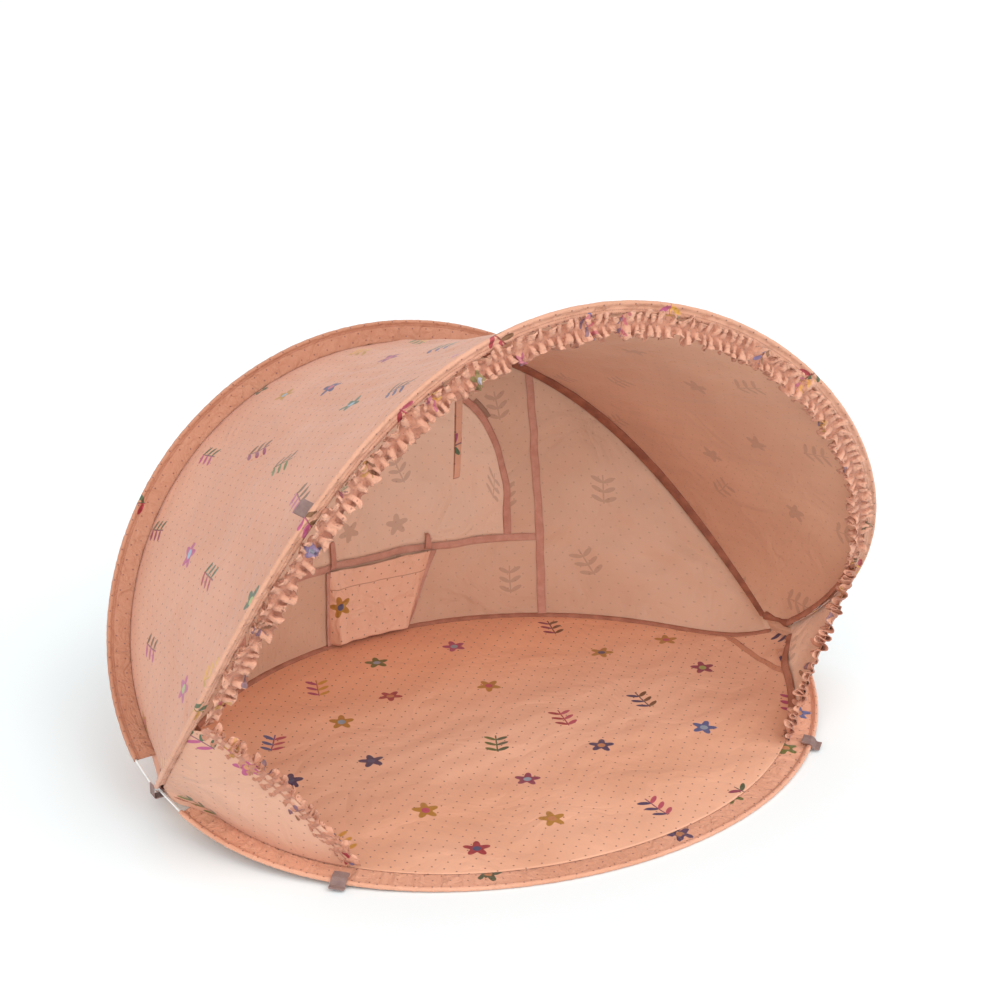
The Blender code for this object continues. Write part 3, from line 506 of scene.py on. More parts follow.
# Back wall: three panels that lean from the rear of the floor up to the rear arch. The wall
# is slack enough for soft diagonal creases, and its foot gathers a little along the seam.
WALL_SAG = 0.010
SEAM_SHARE = 0.525
SEAM_GAP = 0.0003


def edge_inset(share, full):
    """How far in a panel's foot lies: out by the bare wire at both ends, then full."""
    rise = np.clip(np.minimum(share, 1 - share) / 0.07, 0, 1)
    return 0.0050 + (full - 0.0050) * rise * rise * (3 - 2 * rise)


def flat_front(points):
    return np.stack([points[..., 0], lengths(points)], axis=-1)


def wall_place(width_share, up, lift=0.0):
    """Places on the back wall: across it from -1 to 1, and up it from 0 to 1."""
    width_share, up = np.asarray(width_share, float), np.asarray(up, float)
    foot_inset, head_inset = REAR_GROUND_BAND - 0.006, REAR_ARCH_BAND - 0.0035
    foot_share = rear_ground.share_of_width(width_share, foot_inset)
    foot = rear_ground.at(foot_share, edge_inset(foot_share, foot_inset), FOOT_LIFT)
    head = rear_arch.at(rear_arch.share_of_width(width_share, head_inset), head_inset, -0.0014)
    points = between(foot, head, up)
    bow = 4 * up * (1 - up)
    x, z = width_share * 0.5, up * 0.5
    soft = 0.0034 * waves(x, z, 0.17, 11, (0.5, 1.0)) + 0.0018 * waves(x, z, 0.07, 12, (-0.9, -0.4))
    gather = 0.0015 * waves(x, 0, 0.035, 13) * np.exp(-up * 12)
    points[..., 1] -= WALL_SAG * bow * (1 - width_share**2) + lift
    points[..., 1] += (soft * bow + gather * np.minimum(1, up * 20)) * (1 - width_share**16)
    return points


def wall_sheet(name, first, last, columns, lift, bottom=0.0, top=1.0, rows=96):
    """Part of the back wall between two shares of its width."""

    def place(across, up):
        return wall_place(first + (last - first) * across, bottom + (top - bottom) * up, lift)

    return cloth(name, place, columns, rows, flat_front, (0, 1, 0))


def wall_front(x, z):
    """The back wall's own shares at places seen from the front."""
    up = np.clip(np.asarray(z, float) / 0.55, 0, 1)
    share = np.asarray(x, float) / 0.5
    for _ in range(12):
        here = wall_place(share, up)
        share = np.clip(share + (x - here[..., 0]) / 0.55, -1, 1)
        up = np.clip(up + (z - here[..., 2]) / 0.55, 0, 1)
    return share, up


# Painted light: the wall's inside is paler than its outside, for the light that comes through the thin
# cloth.
wall_inside = printed_cloth("wall_inside", "e0bba2", "d6ae94", 0.34, 0.25, 2, 0.0030, 8.0)
wall_outside = printed_cloth("wall_outside", "d39a80", "cb9177", 0.9, 0.75, 2)
for name, first, last, columns in (
    ("left", -1, -SEAM_SHARE - SEAM_GAP, 90),
    ("centre", -SEAM_SHARE + SEAM_GAP, SEAM_SHARE - SEAM_GAP, 150),
    ("right", SEAM_SHARE + SEAM_GAP, 1, 90),
):
    panel = wall_sheet(f"wall_{name}", first, last, columns, 0)
    clad(panel, CLOTH_THICKNESS, wall_outside, wall_inside)
    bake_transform(panel)
    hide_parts(f"back_wall_{name}")
    edges = ["rear_ground_sleeve", "rear_arch_sleeve"]


# Wire sleeves: tubes of folded cloth round the wires, each with a flat band that is sewn to
# the panels. The wire draws the cloth up, so it puckers across the sleeve along its length.
def sleeve_profile(band, droop, radius):
    """The folded section from the band's end over the wire and back, as insets and lifts."""
    skin = 0.00045
    away = [(band - (band - 0.0046) * k / 7, droop + skin) for k in range(8)]
    turns = np.radians(np.linspace(38, 322, 15))
    around = [(radius * math.cos(t), radius * math.sin(t)) for t in turns]
    back = [(0.0046 + (band - 0.0046) * k / 7, droop - skin) for k in range(8)]
    return np.array([*away, *around, *back, away[0]])


def sleeve(name, half, band, droop, seed, pucker, columns=520, radius=0.0035):
    profile = sleeve_profile(band, droop, radius)
    rows = len(profile) - 1

    def place(share, up):
        k = np.rint(up * rows).astype(int)
        inset, lift = profile[k, 0], profile[k, 1]
        along = share * 1.9
        ripple = waves(along, 0, 0.020, seed) + 0.7 * waves(along, 0, 0.009, seed + 1)
        spread = np.clip((inset - 0.004) / (band - 0.004), 0, 1)
        slack = np.sin(math.pi * spread) + 0.25 * (spread < 0.98)
        on_band = np.where(inset > 0.0045, slack, 0)
        lift = lift + pucker * on_band * (ripple if droop == 0 else np.abs(ripple))
        tube = np.where(inset <= 0.0045, 1 + 0.05 * ripple, 1)
        return half.sleeve_at(share, inset * tube, lift * tube)

    def flat(points):
        across = np.concatenate([[0], np.cumsum(np.hypot(*np.diff(profile, axis=0).T))])
        along = lengths(points[rows // 2])
        u, v = np.meshgrid(along, across)
        return np.stack([u, v], axis=-1)

    return cloth(name, place, columns, rows, flat, (0, 0, 1), closed=True)


STITCH = 0.0032


def sewn_edge(places, seam="8f5645"):
    """Rows of small stitches and a darker seam line at these places across the band."""

    def paint(tree, flat, colour):
        place = add(tree, "SeparateXYZ", {"Vector": flat}).outputs
        stitch = calc(tree, "FRACT", calc(tree, "DIVIDE", place["X"], STITCH))
        dash = calc(tree, "MULTIPLY_ADD", calc(tree, "GREATER_THAN", stitch, 0.3), 0.30, 0.20)
        for v in places:
            off = calc(tree, "ABSOLUTE", calc(tree, "SUBTRACT", place["Y"], v))
            line = calc(tree, "MULTIPLY", fade(tree, off, 0.0010, 0.0002), dash)
            colour = mix(tree, line, colour, rgb(seam))
        return colour

    return paint


# Painted shade: the rear arch's sleeve is painted darker than the other sleeves.
SLEEVES = (
    ("front_arch", front_arch, FRONT_ARCH_BAND, "front_arch", "d6a086", "cb9478", 0.0007),
    ("rear_arch", rear_arch, REAR_ARCH_BAND, "rear_arch", "bf876c", "b67d62", 0.0010),
    ("front_ground", front_ground, FRONT_GROUND_BAND, "front_base", "e0a68a", "d69a7c", 0.0013),
    ("rear_ground", rear_ground, REAR_GROUND_BAND, "rear_base", "d99a7c", "cf8d70", 0.0009),
)
for seed, (name, half, band, body, ground, shade, pucker) in enumerate(SLEEVES):
    droop = 0.0 if half.arch else GROUND_DROOP
    tube = sleeve(f"{name}_tube", half, band, droop, 30 + 2 * seed, pucker)
    around = 2 * band + 0.014
    hems = sewn_edge((0.0025, band - 0.0065, band + 0.0215, around - 0.0025))
    cover = printed_cloth(f"{name}_cloth", ground, shade, 0.85, 0.7, 5 + seed, 0.0016, 42.0, hems)
    clad(tube, 0.0003, cover, offset=-1.0)
    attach(tube, body)
    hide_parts(f"{name}_sleeve")
    run = float(lengths(half.sleeve_at(np.linspace(0, 1, 400), 0, 0))[-1])


# Inner seams: inside the tent a binding is rolled over the seams of the panels, along the rear arch, along
# the front arch beside the wings and along the wings' feet. The rear arch's binding and the knots at the
# crossings are painted darker: partly the binding's own colour, partly painted shadow in the fold.
def seam_roll(name, half, shares, first, last, bulge, columns=80):
    """A rolled seam in the corner between two panels, from one inset and lift to another."""
    inner = min(first[0], last[0])

    def place(across, up):
        share = shares[0] + (shares[1] - shares[0]) * across
        swell = bulge * (np.sin(math.pi * up) * (1 + 0.25 * waves(across * columns, 0, 4.0, 47)))
        inset = first[0] * (1 - up) + last[0] * up + swell
        lift = first[1] * (1 - up) + last[1] * up + swell
        if not half.arch:
            inset = inset + edge_inset(share, inner) - inner
        return half.at(share, inset, lift)

    roll = cloth(name, place, columns, 8, flat_lengths, (0, -1, 0.3))
    clad(roll, CLOTH_THICKNESS, seam_light)
    return roll


def seam_binding(name, light, dark):
    """Narrow binding, its colour varying at random between a lighter and a darker tone."""
    material, tree, shader = new_material(name, roughness=0.75)
    flat, place = wall_coords(tree)
    worn = noise(tree, place, 45.0, 4.0, 0.6)
    colour = mix(tree, fade(tree, worn, 0.3, 0.7), rgb(dark), rgb(light))
    tree.links.new(colour, shader.inputs["Base Color"])
    ribs = {"Height": noise(tree, flat, 420.0, 2.0), "Distance": 0.0006, "Strength": 0.5}
    tree.links.new(add(tree, "Bump", ribs).outputs[0], shader.inputs["Normal"])
    return material


# Painted shadow: the rear arch's binding is darker than the other seams', for the shadow in its fold as
# well as its own colour.
seam_shadow = seam_binding("seam_shadow_cloth", "a5674e", "85503e")
seam_light = seam_binding("seam_cloth", "b97f68", "a26a54")


def rear_seam_place(share, up):
    """Places on the rear arch's binding: from the wall to a little way along the roof."""
    on_wall = rear_arch.at(share, 0.0412, 0.0010)
    depth = 0.034 - 0.014 * np.sin(math.pi * share) ** 4
    on_roof = towards_line(roof_place(share, depth), np.full_like(share, 0.0014))
    rolled = 0.0020 + 0.0008 * waves(share * 320, 0, 4.0, 47)
    return towards_line(between(on_wall, on_roof, up), rolled * np.sin(math.pi * up))


roll = cloth("rear_arch_seam", rear_seam_place, 320, 10, flat_lengths, (0, -1, 0.3))
clad(roll, CLOTH_THICKNESS, seam_shadow)
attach(roll, "rear_arch")
ends = (0.0140, 0.0050), (0.0200, -0.0008)
roll = seam_roll("wall_foot_seam", rear_ground, (0.0, 1.0), *ends, 0.0010, 240)
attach(roll, "rear_base")
WING_HEAD_REACH, WING_FOOT_REACH = 0.235, 0.268
wing_heads = front_arch.share_of_distance(WING_HEAD_REACH)
wing_feet = front_ground.share_of_distance(0.262)
for name, side in (("left", 0.0), ("right", 1.0)):
    shares, ends = (side, abs(side - wing_heads)), ((0.0230, -0.0020), (0.0130, 0.0090))
    roll = seam_roll(f"wing_head_seam_{name}", front_arch, shares, *ends, 0.0018)
    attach(roll, "front_arch")
    shares, ends = (side, abs(side - wing_feet)), ((0.0340, 0.0080), (0.0430, -0.0008))
    roll = seam_roll(f"wing_foot_seam_{name}", front_ground, shares, *ends, 0.0016)
    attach(roll, "front_base")

    def knot_place(across, up, end=side):
        """A short bundle of seams from the rear arch's seam to the front arch's one."""
        end = np.full_like(across, end)
        first, last = rear_arch.at(end, 0.0300, 0), front_arch.at(end, 0.0140, 0)
        turn = 2 * math.pi * up
        bumps = 0.0006 * waves(across * 6, up * 3, 1.5, 48)
        thick = 0.0052 + 0.0016 * np.cos(2 * math.pi * across) + bumps
        ring = np.stack([np.cos(turn), 0 * turn, np.sin(turn)], axis=-1)
        return between(first, last, across) + ring * thick[..., None]

    knot_name = f"crossing_knot_{name}"
    knot = cloth(knot_name, knot_place, 24, 16, flat_lengths, (0, 0, 1), closed=True)
    # The knot takes the rear arch's darker binding, partly painted shadow in the crossing's corner.
    knot.data.materials.append(seam_shadow)
    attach(knot, "rear_arch")


# Wires and ferrules: spring steel with a thin white coating, which shows for a few
# centimetres beside the crossings, and plain crimped steel where each hoop is closed.
coating, tree, shader = new_material("wire_coating", roughness=0.32, metallic=0.25)
place = add(tree, "TexCoord").outputs["Object"]
scuffs = noise(tree, place, 160.0, 4.0, 0.7)
colour = mix(tree, fade(tree, scuffs, 0.55, 0.75), rgb("e9e9e7"), rgb("b9b6b1"))
tree.links.new(colour, shader.inputs["Base Color"])
tree.links.new(fade(tree, scuffs, 0.4, 0.7, 0.28, 0.5), shader.inputs["Roughness"])
crimped, tree, shader = new_material("crimped_steel", roughness=0.35, metallic=1.0)
place = add(tree, "TexCoord").outputs["Object"]
colour = mix(tree, noise(tree, place, 300.0, 3.0), rgb("8f8f8e"), rgb("c2c2c0"))
tree.links.new(colour, shader.inputs["Base Color"])
halves = [f"{name}_wire" for name, *_ in SLEEVES]
ferrules = ["sun_hoop_ferrule", "shade_hoop_ferrule"]
for node in halves + ferrules:
    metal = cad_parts[node]
    metal.data.materials.clear()
    metal.data.materials.append(coating if node in halves else crimped)


# Ground sheet: one piece of the deeper peach cloth, sewn to the front and rear bands. It lies
# on the ground in the middle and rises to the crossings, with long soft wrinkles.
def flat_plan(points):
    return points[..., :2]


def paler(axis, low, high, share, deep="ffe2cc"):
    """Painted light: cloth that grows paler along one axis, where more light reaches it."""

    def paint(tree, flat, colour):
        places = add(tree, "TexCoord").outputs["Object"]
        place = add(tree, "SeparateXYZ", {"Vector": places}).outputs[axis]
        tint = mix(tree, fade(tree, place, low, high), rgb("ffe2cc"), rgb(deep))
        return mix(tree, fade(tree, place, low, high, 0.0, share), colour, tint)

    return paint


def floor_place(across, back):
    column = across * 2 - 1
    front_inset, rear_inset = FRONT_GROUND_BAND - 0.003, REAR_GROUND_BAND - 0.003
    front_share = front_ground.share_of_width(column, front_inset)
    rear_share = rear_ground.share_of_width(column, rear_inset)
    front = front_ground.at(front_share, edge_inset(front_share, front_inset), GROUND_DROOP)
    rear = rear_ground.at(rear_share, edge_inset(rear_share, rear_inset), GROUND_DROOP)
    points = between(front, rear, back)
    edge = front[..., 2] * (1 - back) + rear[..., 2] * back
    free = 4 * back * (1 - back)
    low = 0.0006
    height = low + (edge - low) * (1 - (1 - column**4) * free)
    x, y = points[..., 0], points[..., 1]
    soft = 0.5 + 0.5 * np.tanh(waves(x, y, 0.24, 21, (1.2, 2.0)))
    small = 0.5 + 0.5 * np.tanh(waves(x, y, 0.07, 22, (0.6, 2.4)))
    pull = 0.5 + 0.5 * np.tanh(waves(x, y * 0.25, 0.030, 23, (-0.4, 0.4)))
    lift = (0.0042 * soft + 0.0018 * small) * np.minimum(1, 3 * free)
    gather = 0.0018 * pull * np.exp(-3 * free) * np.minimum(1, 9 * free)
    points[..., 2] = height + 0.0016 + lift + gather
    return points


# Painted light: the floor grows paler and more orange towards the back, for the light that the walls throw
# on it.
lit_back = paler("Y", -0.20, 0.28, 0.70, "ffc09a")
floor_cloth = printed_cloth("floor_cloth", "e6b092", "dda586", 0.9, 0.8, 3, 0.0016, 9.0, lit_back)
ground_sheet = cloth("ground_sheet", floor_place, 260, 150, flat_plan, (0, 0, 1))
clad(ground_sheet, CLOTH_THICKNESS, floor_cloth)
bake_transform(ground_sheet)
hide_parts("ground_sheet_front", "ground_sheet_rear")

SIDES = ((-1, "left"), (1, "right"))
for side, name in SIDES:

    def corner_place(across, back, side=side):
        """A doubled strip on the floor, straight back beside a wing."""
        points = floor_place(0.5 + side * (0.466 + 0.0075 * across), 0.04 + 0.93 * back)
        points[..., 2] += 0.0012
        return points

    corner = cloth(f"floor_strip_{name}", corner_place, 5, 90, flat_plan, (0, 0, 1))
    doubled = printed_cloth(f"floor_strip_{name}", "cf9478", "c4876b", 0.9, 0.4, 16, 0.0016, 30.0)
    clad(corner, 0.0005, doubled)
    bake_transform(corner)


# Side wings: a triangle of shell cloth at each end of the opening, from the crossing to a
# free edge that the ruffle is sewn along.
WING_WIDTH, WING_FREE_LAP = 0.28, 0.022


def wing_place(side, along, up):
    """Places on a wing: from the crossing at 0 to its free edge at 1, and up it."""
    arch_last = front_arch.share_of_distance(WING_HEAD_REACH) * along
    ground_last = front_ground.share_of_distance(WING_FOOT_REACH) * along
    if side > 0:
        arch_last, ground_last = 1 - arch_last, 1 - ground_last
    foot = front_ground.at(ground_last, edge_inset(ground_last, FRONT_GROUND_BAND - 0.006), FOOT_LIFT)
    head = front_arch.at(arch_last, FRONT_ARCH_BAND - 0.0035, -0.0016)
    up = np.asarray(up, float)
    points = between(foot, head, up)
    bow = 4 * up * (1 - up) * along
    soft = 0.002 * waves(along * 0.3, up * 0.25, 0.11, 41 + side)
    points[..., 0] -= side * (0.008 * bow + soft * bow)
    return points


wing_outside = printed_cloth("wing_outside", "d6a48b", "cd9a80", 0.9, 0.6, 4, 0.0026, 10.0)
# Painted light: the wings' inside is much paler than their outside, for the light that comes through the
# cloth.
wing_inside = printed_cloth("wing_inside", "f2d0b8", "e8c4aa", 0.34, 0.25, 4, 0.0026, 10.0)
for side, name in SIDES:

    def place(along, up, side=side):
        """A wing whose cloth runs on a little past its free edge, under the ruffle."""
        reach = along * (1 + WING_FREE_LAP / WING_WIDTH)
        inner = wing_place(side, np.minimum(reach, 1), up)
        before_edge = wing_place(side, np.full_like(along, 0.95), up)
        ahead = unit(wing_place(side, np.ones_like(along), up) - before_edge)
        over = np.maximum(reach - 1, 0) * WING_WIDTH * np.minimum(1, 12 * up * (1 - up))
        return inner + ahead * over[..., None]

    wing = cloth(f"wing_cloth_{name}", place, 72, 64, flat_lengths, (side, 0, 0))
    clad(wing, CLOTH_THICKNESS, wing_outside, wing_inside)
    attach(wing, "front_base")
    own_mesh(wing)
    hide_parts(f"wing_{name}")
    edges = ["front_arch_sleeve", "front_ground_sleeve"]


# Gussets: a small piece of shell cloth at each crossing closes the corner between the back
# wall, the wing and the floor.
def gusset_place(side, ahead, up):
    """Places on a gusset: from the wall at 0 to the wing at 1, and up it."""
    end = 0.0 if side < 0 else 1.0
    column = np.full_like(up, end)
    back_foot = rear_ground.at(column, 0.0050, FOOT_LIFT)
    back_head = rear_arch.at(column, REAR_ARCH_BAND - 0.0035, -0.0014)
    front_foot = front_ground.at(column, 0.0050, FOOT_LIFT)
    front_head = front_arch.at(column, FRONT_ARCH_BAND - 0.0035, -0.0016)
    points = between(between(back_foot, back_head, up), between(front_foot, front_head, up), ahead)
    soft = 0.0015 * np.sin(math.pi * ahead) * waves(ahead * 0.05, up * 0.06, 0.03, 45)
    points[..., 0] -= side * soft
    return points


for side, name in SIDES:

    def place(ahead, up, side=side):
        return gusset_place(side, ahead, up)

    gusset = cloth(f"gusset_{name}", place, 24, 30, flat_lengths, (side, 0, 0))
    clad(gusset, CLOTH_THICKNESS, wing_outside, shell_inside)
    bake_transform(gusset)


# Ruffle: a strip of cloth gathered along a line and sewn over the opening's edge, so that
# both its edges stand in small folds. One runs round the arch and one down each wing.
def ruffle(name, line, count, outer, inner, seed, folds, fullness, lift=1.0, rows=16):
    """line gives a centre line, the ways inward, square to it and along it at shares along it.
    The inner half swings both ways, and the outer half stands off the cloth it lies on."""

    def phase_at(run, side):
        phase = 2 * math.pi * (run + 0.30 * waves(run, 0, 5.0, seed + 1)) + np.where(side < 0, 1.9, 0)
        return phase + 1.5 * side * waves(run, side * 0.8, 2.6, seed + 2)

    def place(share, up):
        centre, inward, square, ahead = line(share)
        side = up * 2 - 1
        run = share * folds
        width = np.where(side < 0, outer, inner) * (1 + 0.23 * waves(run, side * 0.2, 2.3, seed))
        free = np.abs(side) ** 0.7
        phase = phase_at(run, side)
        size = np.clip(0.9 + 0.40 * waves(run, side * 0.6, 2.2, seed + 3), 0.3, 1.6)
        swing = np.cos(phase)
        off = np.where(side < 0, -0.0100 * (0.5 + 0.5 * swing), 0.0066 * swing - 0.0036) * size
        crumple = 0.0024 * waves(run, side * 1.2, 0.5, seed + 4)
        curl = 0.0024 * np.sin(2 * phase) * size + 0.0018 * waves(run, side, 1.7, seed + 5)
        drawn = np.minimum(1, 14 * share * (1 - share) + 0.35)
        step = width * side * (1 - 0.10 * (1 - swing) * free) * drawn
        stand = (off * lift + crumple) * free * drawn
        shift = square * stand[..., None] + ahead * (curl * free)[..., None]
        return centre + inward * step[..., None] + shift

    def fold_shade(share, up):
        """How deep in the folds a place lies, for the painted fold shade: 1 in a crease and 0 on a crest.
        """
        side, run = up * 2 - 1, share * folds
        crest = 0.5 - 0.5 * np.cos(phase_at(run, side)) * np.sign(side)
        return np.clip(1 - (0.25 + 0.75 * np.abs(side) ** 0.6) * (0.15 + 0.85 * crest), 0, 1)

    def flat(points):
        across = lengths(points)
        middle = len(points) // 2
        run = float(lengths(points[middle])[-1]) * fullness
        u = np.broadcast_to(np.linspace(0, run, points.shape[1]), across.shape)
        return np.stack([u, across - across[middle]], axis=-1)

    return cloth(name, place, count, rows, flat, (0, -1, 0), fold_shade=fold_shade)


def painted_fold_shade(tree, flat, colour):
    """Painted shade: deeper colour down in the folds, where the folds shade each other."""
    fold_shade = add(tree, "Attribute", attribute_name="fold_shade").outputs["Fac"]
    return mix(tree, fade(tree, fold_shade, 0.15, 0.95, 0.0, 0.58), colour, rgb("a05c44"))


# Painted shade: the frill cloth darkens down in its folds.
frill_cloth = printed_cloth("frill_cloth", "e1a88d", "d79b80", 0.6, 0.5, 8, 0.0022, 60.0, painted_fold_shade)
ARCH_GATHER = 0.0275
FULLNESS = 1.8
FRILL_THICKNESS = 0.0005


def arch_line(share):
    """The ruffle's gather line along the front arch, on the band's front face."""
    first = front_arch.share_of_distance(0.2435)
    where = first + (1 - 2 * first) * share
    centre = front_arch.at(where, ARCH_GATHER, -0.0026)
    inward = front_arch.at(where, ARCH_GATHER + 0.004, -0.0026) - centre
    square = front_arch.at(where, ARCH_GATHER, 0.002) - centre
    ahead = front_arch.at(np.minimum(where + 0.001, 1), ARCH_GATHER, -0.0026) - centre
    return centre, unit(inward), unit(square), unit(ahead)


arch_ruffle = ruffle("arch_ruffle", arch_line, 1900, 0.0160, 0.0190, 50, 104, FULLNESS)
clad(arch_ruffle, FRILL_THICKNESS, frill_cloth)
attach(arch_ruffle, "front_arch")
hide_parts("arch_frill")

for side, name in SIDES:

    def wing_line(share, side=side):
        """The gather line down a wing, a little past the wing's CAD edge."""
        up = 0.965 - 0.935 * share
        ones = np.ones_like(up)
        edge = wing_place(side, ones, up)
        inner = wing_place(side, ones * 0.9, up)
        inward = unit(edge - inner)
        rise = unit(wing_place(side, ones, 0.99 * ones) - wing_place(side, ones, 0.01 * ones))
        square = np.cross(inward, rise) * side
        outward = np.array([side, 0, 0])
        square *= np.sign(square @ outward)[..., None]
        return edge + inward * 0.0120 + square * 0.0014, inward, square, -rise

    widths = 0.0150, 0.0190
    strip = ruffle(f"wing_ruffle_{name}", wing_line, 320, *widths, 60 + side, 17, FULLNESS, 1.4)
    clad(strip, FRILL_THICKNESS, frill_cloth)
    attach(strip, "front_base")
    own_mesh(strip)
    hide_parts(f"wing_frill_{name}")


# Tapes on the back wall: ribbed binding tape over the two upright seams, and a level one
# along the window's sill, all stitched flat to the wall.
def ribbed_tape(name, light, dark, rib=0.0021):
    """Woven tape with ribs across it, faintly darker along each rib."""
    material, tree, shader = new_material(name, roughness=0.68)
    flat, place = wall_coords(tree)
    sides = add(tree, "SeparateXYZ", {"Vector": flat}).outputs
    ribs = calc(tree, "SINE", calc(tree, "MULTIPLY", sides["Y"], 2 * math.pi / rib))
    worn = noise(tree, place, 60.0, 3.0, 0.6)
    colour = mix(tree, fade(tree, worn, 0.35, 0.65), rgb(dark), rgb(light))
    colour = mix(tree, calc(tree, "MULTIPLY_ADD", ribs, 0.05, 0.06), colour, rgb("7c4538"))
    tree.links.new(colour, shader.inputs["Base Color"])
    height = calc(tree, "ADD", ribs, noise(tree, place, 400.0, 2.0))
    bump = add(tree, "Bump", {"Height": height, "Distance": 0.0005, "Strength": 0.5})
    tree.links.new(bump.outputs[0], shader.inputs["Normal"])
    shader.inputs["Sheen Weight"].default_value = 0.1
    return material


seam_tape = ribbed_tape("seam_tape", "dba390", "cf9581")
TAPE_LIFT = 0.0017
TAPE_THICKNESS = 0.0007
for side, name in SIDES:
    edges = side * SEAM_SHARE - 0.0120, side * SEAM_SHARE + 0.0120
    tape = wall_sheet(f"upright_tape_{name}", *edges, 6, TAPE_LIFT, 0.004, 0.996)
    clad(tape, TAPE_THICKNESS, seam_tape)
    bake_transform(tape)
    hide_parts(f"wall_tape_{name}")


def wall_patch(name, columns, rows, corners, lift):
    """A piece on the wall's inner face. corners turns shares into x and z seen from the front."""

    def place(across, up):
        x, z = corners(across, up)
        share, height = wall_front(x, z)
        return wall_place(share, height, lift)

    return cloth(name, place, columns, rows, flat_lengths, (0, -1, 0))


SILL_TOP, SILL_HEIGHT, SILL_HALF_WIDTH = 0.1557, 0.013, 0.270


def sill_corners(across, up):
    return (across * 2 - 1) * SILL_HALF_WIDTH, SILL_TOP - SILL_HEIGHT * (1 - up)


sill = wall_patch("sill_band", 240, 4, sill_corners, TAPE_LIFT)
level_tape = ribbed_tape("level_tape", "dda794", "d19985")
clad(sill, TAPE_THICKNESS, level_tape)
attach(sill, "rear_base")
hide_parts("sill_tape")


# Window: the cover is a second layer of shell cloth over the opening, edged with binding and
# a strip of hook tape, and a fine net fills the opening behind it.
WINDOW = (0.216, 0.160, 0.425, 2 / 3.2)


def window_arch(turn, grow):
    """The window's outline at a turn from its right foot over to its left one."""
    half, sill_height, top, power = WINDOW
    low = sill_height - grow
    x = (half + grow) * np.sign(np.cos(turn)) * np.abs(np.cos(turn)) ** power
    return x, low + (top + grow - low) * np.abs(np.sin(turn)) ** power


def window_fill(grow):
    def corners(across, up):
        x, z = window_arch(math.pi * (1 - across), grow)
        low = WINDOW[1] - 0.003
        return x, low + np.maximum(z - low, 0.0004) * up

    return corners


cover = wall_patch("window_flap", 160, 60, window_fill(0.0035), 0.0014)
# Painted light: the window flap is pale, and paler towards its top, for the light that comes through it.
lit_top = paler("Z", 0.16, 0.40, 0.6)
flap_cloth = printed_cloth("flap_cloth", "efcfb8", "e6c3aa", 0.34, 0.25, 9, 0.0032, 9.0, lit_top)
clad(cover, CLOTH_THICKNESS, flap_cloth)
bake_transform(cover)
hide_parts("window_cover")

# Net: thin cloth with fine holes 1.4 mm apart. Its holes are painted as dark dots between its threads,
# painted shade seen through them.
net = wall_patch("window_mesh", 80, 30, window_fill(-0.0010), -0.0016)
mesh_cloth, tree, shader = new_material("mesh_cloth", roughness=0.8)
flat = add(tree, "UVMap", uv_map="pattern").outputs["UV"]
holes = {"Vector": flat, "Scale": 700.0, "Randomness": 0.15}
thread = add(tree, "TexVoronoi", holes, voronoi_dimensions="2D").outputs["Distance"]
colour = mix(tree, fade(tree, thread, 0.25, 0.45), rgb("3c2a26"), rgb("8d7168"))
tree.links.new(colour, shader.inputs["Base Color"])
clad(net, 0.0003, mesh_cloth)
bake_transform(net)
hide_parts("window_net")


def arch_strip(name, inner, outer, first, last, columns, lift, rows=4):
    """A strip of tape along the window's arch between two growths of its outline."""

    def corners(across, up):
        turn = first + (last - first) * (across - np.sin(2 * math.pi * across) / 6.4)
        x1, z1 = window_arch(turn, inner)
        x2, z2 = window_arch(turn, outer)
        return x1 + (x2 - x1) * up, np.maximum(z1 + (z2 - z1) * up, SILL_TOP + 0.0004)

    return wall_patch(name, columns, rows, corners, lift)


def along_tape(points):
    """A tape's own pattern: across it, and then along it."""
    along = np.broadcast_to(lengths(points[0]), points.shape[:2])
    return np.stack([lengths(points), along], axis=-1)


binding = arch_strip("window_edging", 0.0038, 0.0158, 0.0, math.pi, 260, TAPE_LIFT)
clad(binding, TAPE_THICKNESS, ribbed_tape("edging_tape", "d99f8c", "cd917e"))
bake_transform(binding)
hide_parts("window_binding")

# Hook tape: a dull, rough mat of short hooks.
hooks = arch_strip("hook_tape", 0.0162, 0.0232, 0.66, 0.86, 20, TAPE_LIFT)
hook_cloth, tree, shader = new_material("hook_cloth", roughness=0.85)
place = add(tree, "TexCoord").outputs["Object"]
fuzz = noise(tree, place, 900.0, 2.0, 0.7)
tree.links.new(mix(tree, fuzz, rgb("94705f"), rgb("b28c78")), shader.inputs["Base Color"])
bump = add(tree, "Bump", {"Height": fuzz, "Distance": 0.001, "Strength": 0.7})
tree.links.new(bump.outputs[0], shader.inputs["Normal"])
clad(hooks, 0.0009, hook_cloth)
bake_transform(hooks)


# Pocket: a patch of printed cloth below the sill, sewn down its sides and its foot. Its top
# edge is hemmed and hangs a little open, and its right side is cut on a slant.
def pocket_place(across, up):
    top, foot, half, slant = SILL_TOP - SILL_HEIGHT - 0.0002, 0.0070, 0.098, 0.050
    x = -half + (2 * half - slant * (1 - up)) * across
    z = foot + (top - foot) * up
    share, height = wall_front(x, z)
    points = wall_place(share, height, 0.0019)
    swell = np.minimum(1, 14 * across * (1 - across)) ** 0.8
    belly = (0.0250 - 0.0225 * up) * swell * np.minimum(1, 14 * up) ** 0.6
    creases = 0.0014 * waves(x, z, 0.05, 71, (-0.5, 0.6)) * swell
    points[..., 1] -= belly + creases + 0.0012 * swell
    points[..., 2] -= 0.003 * np.sin(math.pi * across) * up**6
    return points


